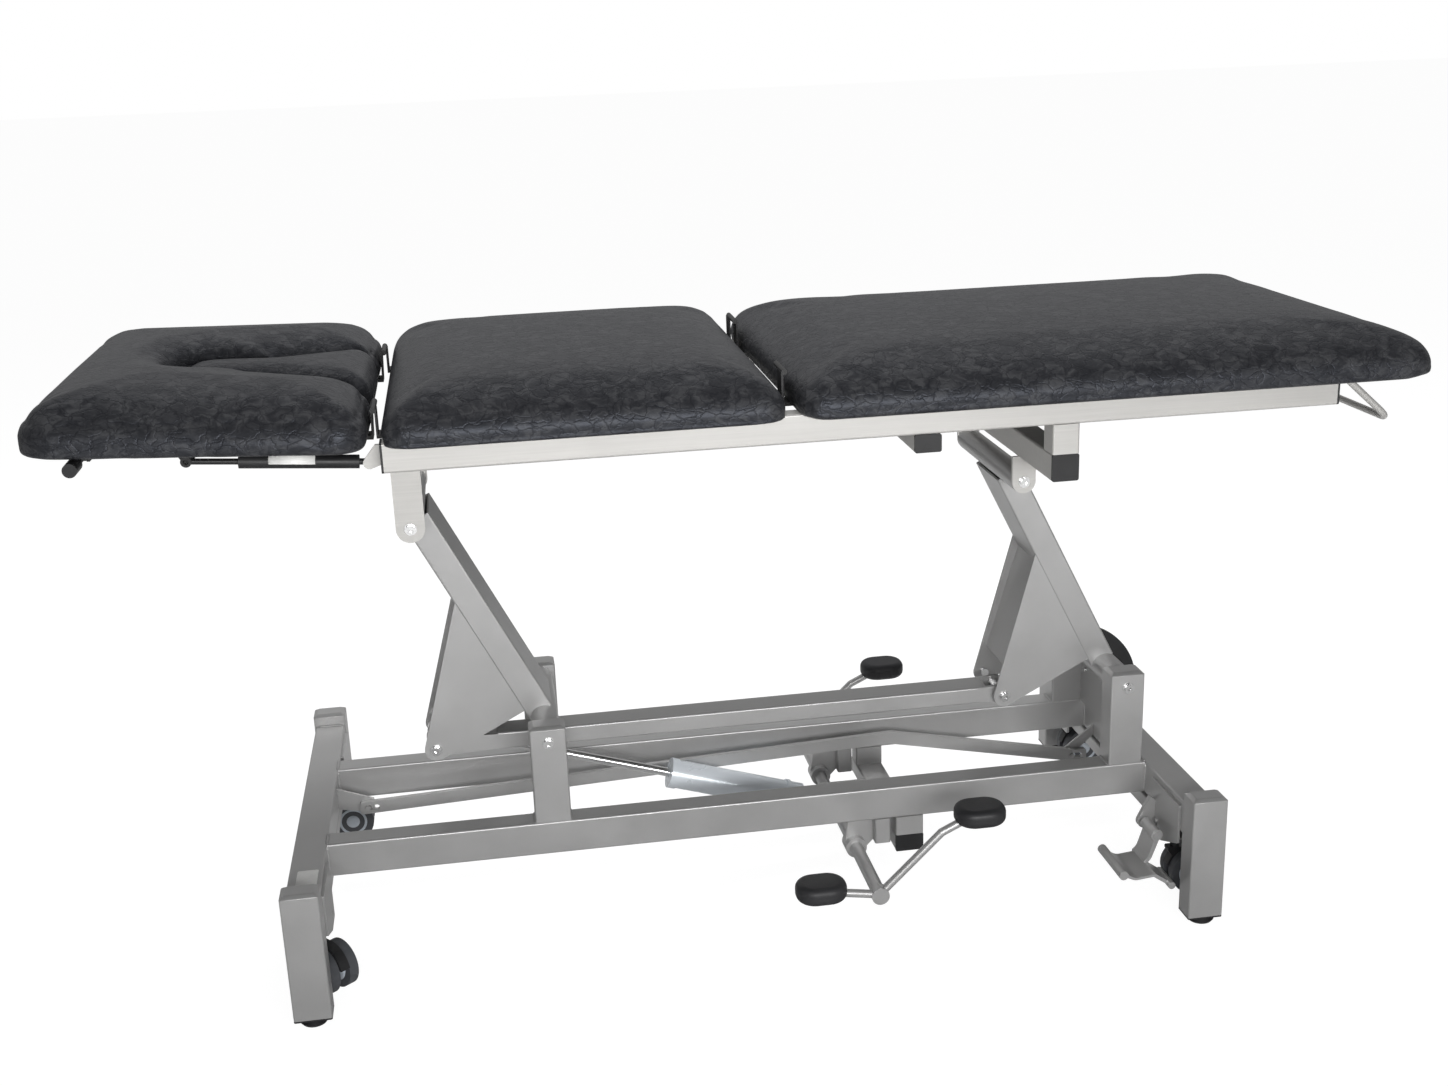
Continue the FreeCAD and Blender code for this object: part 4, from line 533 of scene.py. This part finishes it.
def loft(name, rings, material, body, smooth=True):
    """A closed skin over rings of equally many points."""
    mesh = bpy.data.meshes.new(name)
    build = bmesh.new()
    rows = [[build.verts.new(point) for point in ring] for ring in rings]
    count = len(rows[0])
    for one, two in zip(rows, rows[1:]):
        for i in range(count):
            j = (i + 1) % count
            build.faces.new((one[i], one[j], two[j], two[i]))
    build.faces.new(reversed(rows[0]))
    build.faces.new(rows[-1])
    bmesh.ops.recalc_face_normals(build, faces=build.faces)
    build.to_mesh(mesh)
    build.free()
    for face in mesh.polygons:
        face.use_smooth = smooth and len(face.vertices) == 4
    mesh.materials.append(material)
    piece = bpy.data.objects.new(name, mesh)
    bpy.context.collection.objects.link(piece)
    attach(piece, body)
    return piece


def circle(centre, axis, radius, count=32):
    """Points round a centre, square to an axis."""
    axis = Vector(axis).normalized()
    side = axis.orthogonal().normalized()
    other = axis.cross(side)
    turns = [2 * math.pi * i / count for i in range(count)]
    return [Vector(centre) + radius * (math.cos(t) * side + math.sin(t) * other) for t in turns]


def round_box(low, high, inset, radius, z, steps=5):
    """Points of a rounded rectangle between two corners, drawn in by an inset."""
    points = []
    reach = max(radius - inset, 0.0008)
    for index, (sx, sy) in enumerate(((1, 1), (-1, 1), (-1, -1), (1, -1))):
        cx = (high.x - inset - reach) if sx > 0 else (low.x + inset + reach)
        cy = (high.y - inset - reach) if sy > 0 else (low.y + inset + reach)
        for step in range(steps + 1):
            angle = math.pi / 2 * (index + step / steps)
            points.append(Vector((cx + reach * math.cos(angle), cy + reach * math.sin(angle), z)))
    return points


# Bevelled lids on the legs and pivot posts: inset, corner radius and height of each ring over the tube
LID_BEVEL = 0.007
LID_HEIGHT = 0.0045
LID_RINGS = [(0.0002, 0.0035, -0.002), (0.0002, 0.0035, 0.0), (0.0009, 0.0035, 0.0008),
             (LID_BEVEL - 0.001, 0.009, LID_HEIGHT - 0.0005), (LID_BEVEL, 0.009, LID_HEIGHT)]


def lids(node):
    for number, (low, high) in enumerate(islands(node)):
        rings = [round_box(low, high, inset, radius, high.z + lift) for inset, radius, lift in LID_RINGS]
        loft("%s_lid_%d" % (node, number), rings, SILVER, "base")


lids("legs")
lids("pivot_posts")


# Weld beads: a rippled fillet along a joint
BEAD_RADIUS = 0.0024
BEAD_STEP = 0.0011
RIPPLE_PITCH = 0.0034
BEAD_INSET = 0.002
BEAM_BEAD_INSET = 0.003


def bead(name, start, end, body):
    start = Vector(start)
    end = Vector(end)
    length = (end - start).length
    steps = max(6, int(length / BEAD_STEP))
    rings = []
    for step in range(steps + 1):
        share = step / steps
        ripple = 1 + 0.16 * math.sin(share * length / RIPPLE_PITCH * 2 * math.pi)
        taper = min(1.0, 0.35 + 6 * min(share, 1 - share))
        rings.append(circle(start.lerp(end, share), end - start, BEAD_RADIUS * ripple * taper, 10))
    return loft(name, rings, SILVER, body)


def frame_welds():
    for number, (low, high) in enumerate(islands("base_rails")):
        for end, x in (("left", low.x), ("right", high.x)):
            name = "weld_rail_%d_%s" % (number, end)
            near_y = low.y + BEAD_INSET
            far_y = high.y - BEAD_INSET
            bead(name + "_top", (x, near_y, high.z), (x, far_y, high.z), "base")
            for side, y in (("near", low.y), ("far", high.y)):
                foot = (x, y, low.z + BEAD_INSET)
                head = (x, y, high.z - BEAD_INSET)
                bead("%s_%s" % (name, side), foot, head, "base")
    for number, (low, high) in enumerate(islands("pivot_posts")):
        for side, x in (("left", low.x), ("right", high.x)):
            near = (x, low.y + BEAD_INSET, low.z)
            far = (x, high.y - BEAD_INSET, low.z)
            bead("weld_post_%d_%s" % (number, side), near, far, "base")
    for number, (low, high) in enumerate(islands("crossbeams")):
        for side, y in (("near", low.y), ("far", high.y)):
            left = (low.x + BEAM_BEAD_INSET, y, high.z)
            right = (high.x - BEAM_BEAD_INSET, y, high.z)
            bead("weld_beam_%d_%s" % (number, side), left, right, "base")


frame_welds()


# Castor hubs: pale dished discs on both faces of every wheel
HUB = moulded("castor_hub_pale", (0.46, 0.5, 0.55), 0.35, 400.0, 0.00006)
WHEEL_WIDTH = 0.015
WHEEL_GAP = 0.016
# Radius of each ring and how far it stands out of the wheel's face
INNER_HUB = [(0.023, -0.001), (0.0228, 0.0003), (0.012, 0.0004)]
OUTER_HUB = [(0.023, -0.0012), (0.0228, 0.0007), (0.0205, 0.0011), (0.0185, -0.0002), (0.011, -0.0002),
             (0.0095, 0.0012), (0.0055, 0.0014)]
HUB_FACES = [("in", WHEEL_GAP / 2, -1, INNER_HUB), ("out", WHEEL_GAP / 2 + WHEEL_WIDTH, 1, OUTER_HUB)]
FRONT_LEFT_TURN = math.radians(-50)


def hubs(corner, turned):
    low, high = (Vector(c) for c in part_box("castor_wheels_" + corner))
    centre = (low + high) / 2
    axis = Vector((-math.sin(turned), math.cos(turned), 0))
    for side in (-1, 1):
        letter = "a" if side < 0 else "b"
        for face, offset, outward, dish in HUB_FACES:
            spot = centre + axis * side * offset
            out = axis * side * outward
            rings = [circle(spot + out * lift, axis, radius, 40) for radius, lift in dish]
            loft("hub_%s_%s_%s" % (corner, face, letter), rings, HUB, "wheels_" + corner)


hubs("front_left", FRONT_LEFT_TURN)
for corner in ("front_right", "rear_left", "rear_right"):
    hubs(corner, 0.0)


# Bare places where the real table carries labels
LABEL = moulded("label_blank", (0.82, 0.82, 0.8), 0.4, 800.0, 0.00002)
# Edges of the place on the left beam, from its left side, its right side and its near end
LABEL_LEFT = 0.012
LABEL_RIGHT = 0.006
LABEL_NEAR = 0.03
LABEL_FAR = 0.074
LABEL_CORNER = 0.003
# The place on the gas spring, as shares of the tube's length, and its two radii
SPRING_LABEL_FROM = 0.22
SPRING_LABEL_TO = 0.56
SPRING_LABEL_RADIUS = 0.0092
SPRING_TUBE_RADIUS = 0.0088


def beam_label():
    low, high = islands("crossbeams")[0]
    from_corner = Vector((low.x + LABEL_LEFT, low.y + LABEL_NEAR, high.z))
    to_corner = Vector((high.x - LABEL_RIGHT, low.y + LABEL_FAR, high.z))
    rings = [round_box(from_corner, to_corner, inset, LABEL_CORNER, high.z + lift)
             for inset, lift in ((0, -0.0002), (0, 0.00025), (0.0003, 0.0003))]
    loft("label_place_beam", rings, LABEL, "base")


def principal_line(name):
    """The two ends of a long round node, through its middle."""
    mesh = node_mesh(name)
    where = np.array([v.co for v in mesh.vertices])
    middle = (where.min(0) + where.max(0)) / 2
    _, _, axes = np.linalg.svd(where - where.mean(0), full_matrices=False)
    along = axes[0] if axes[0][0] > 0 else -axes[0]
    reach = (where - middle) @ along
    return Vector(middle + along * reach.min()), Vector(middle + along * reach.max())


def spring_label():
    start, end = principal_line("head_spring_tube")
    axis = end - start
    first = start.lerp(end, SPRING_LABEL_FROM)
    last = start.lerp(end, SPRING_LABEL_TO)
    rings = [circle(first, axis, SPRING_TUBE_RADIUS), circle(first, axis, SPRING_LABEL_RADIUS),
             circle(last, axis, SPRING_LABEL_RADIUS), circle(last, axis, SPRING_TUBE_RADIUS)]
    loft("label_place_spring", rings, LABEL, "head_gas_tube")


beam_label()
spring_label()


# Camera where the photograph was taken from
CAMERA_AT = Vector((-0.36956, -2.41421, 1.2989))
CAMERA_RIGHT = Vector((0.98728771, -0.15496439, -0.03534151))
CAMERA_DOWN = Vector((-0.07940369, -0.28825633, -0.95425539))
CAMERA_FORWARD = Vector((0.13768819, 0.94493086, -0.29689667))
FOCAL_PIXELS = 1692.9
IMAGE_WIDTH = 1448
SENSOR = 36.0

lens = bpy.data.cameras.new("camera")
lens.sensor_width = SENSOR
lens.lens = FOCAL_PIXELS / IMAGE_WIDTH * SENSOR
camera = bpy.data.objects.new("camera", lens)
bpy.context.collection.objects.link(camera)
turn = Matrix((CAMERA_RIGHT, -CAMERA_DOWN, -CAMERA_FORWARD)).transposed()
camera.matrix_world = Matrix.Translation(CAMERA_AT) @ turn.to_4x4()
bpy.context.scene.camera = camera


# Floor, world and lamps
FLOOR_SIZE = 30
FLOOR_GREY = 0.68
# The camera sees the floor as partly white light, so that it stays pale
FLOOR_GLOW = 1.19
FLOOR_GLOW_SHARE = 0.8
FLOOR_LEVEL = -0.0005
ROOM_LEVEL = 0.1
WALL_LEVEL = 0.4


def floor():
    mesh = bpy.data.meshes.new("floor")
    build = bmesh.new()
    bmesh.ops.create_grid(build, x_segments=1, y_segments=1, size=FLOOR_SIZE)
    build.to_mesh(mesh)
    build.free()
    piece = bpy.data.objects.new("floor", mesh)
    bpy.context.collection.objects.link(piece)
    material = bpy.data.materials.new("floor_pale")
    material.use_nodes = True
    tree = material.node_tree
    tree.nodes.remove(tree.nodes["Principled BSDF"])
    matte = add(tree, "ShaderNodeBsdfDiffuse", Color=(FLOOR_GREY, FLOOR_GREY, FLOOR_GREY, 1))
    white = add(tree, "ShaderNodeEmission", Color=(1, 1, 1, 1), Strength=FLOOR_GLOW)
    path = add(tree, "ShaderNodeLightPath")
    share = tree.nodes.new("ShaderNodeMath")
    share.operation = "MULTIPLY"
    share.inputs[1].default_value = FLOOR_GLOW_SHARE
    tree.links.new(path.outputs["Is Camera Ray"], share.inputs[0])
    mixed = add(tree, "ShaderNodeMixShader")
    tree.links.new(share.outputs["Value"], mixed.inputs[0])
    tree.links.new(matte.outputs["BSDF"], mixed.inputs[1])
    tree.links.new(white.outputs["Emission"], mixed.inputs[2])
    tree.links.new(mixed.outputs["Shader"], tree.nodes["Material Output"].inputs["Surface"])
    mesh.materials.append(material)
    piece.location.z = FLOOR_LEVEL


def world():
    """White for the camera. The object sees a bright wall behind it and a dimmer room in front."""
    studio = bpy.data.worlds.new("studio")
    bpy.context.scene.world = studio
    studio.use_nodes = True
    tree = studio.node_tree
    back = tree.nodes["Background"]
    back.inputs["Color"].default_value = (1, 1, 1, 1)
    path = add(tree, "ShaderNodeLightPath")
    most = tree.nodes.new("ShaderNodeMath")
    most.operation = "MAXIMUM"
    tree.links.new(path.outputs["Is Camera Ray"], most.inputs[0])
    tree.links.new(path.outputs["Is Transmission Ray"], most.inputs[1])
    toward = add(tree, "ShaderNodeTexCoord")
    parts = add(tree, "ShaderNodeSeparateXYZ")
    tree.links.new(toward.outputs["Generated"], parts.inputs[0])
    room = remap(tree, parts.outputs["Y"], 0.1, 0.7, ROOM_LEVEL, WALL_LEVEL)
    level = add(tree, "ShaderNodeMix", data_type="FLOAT")
    tree.links.new(most.outputs["Value"], level.inputs[0])
    tree.links.new(room, level.inputs[2])
    level.inputs[3].default_value = 1.0
    tree.links.new(level.outputs[0], back.inputs["Strength"])


def lamp(name, place_at, aim, size, watts):
    light = bpy.data.lights.new(name, "AREA")
    light.shape = "RECTANGLE"
    light.size = size[0]
    light.size_y = size[1]
    light.energy = watts
    piece = bpy.data.objects.new(name, light)
    piece.location = place_at
    piece.rotation_euler = (Vector(aim) - Vector(place_at)).to_track_quat("-Z", "Y").to_euler()
    bpy.context.collection.objects.link(piece)
    return piece


floor()
world()
lamp("front", (0.15, -3.4, 1.15), (0.1, 0.0, 0.35), (2.7, 0.6), 86)
top = lamp("top", (0.0, 1.3, 3.1), (0.0, 0.0, 0.7), (3.2, 0.9), 78)
top.visible_glossy = False
fill = lamp("fill", (-0.3, -2.7, 2.1), (0.0, 0.0, 0.2), (3.0, 1.2), 7)
fill.visible_glossy = False

view = bpy.context.scene.view_settings
view.view_transform = "Standard"
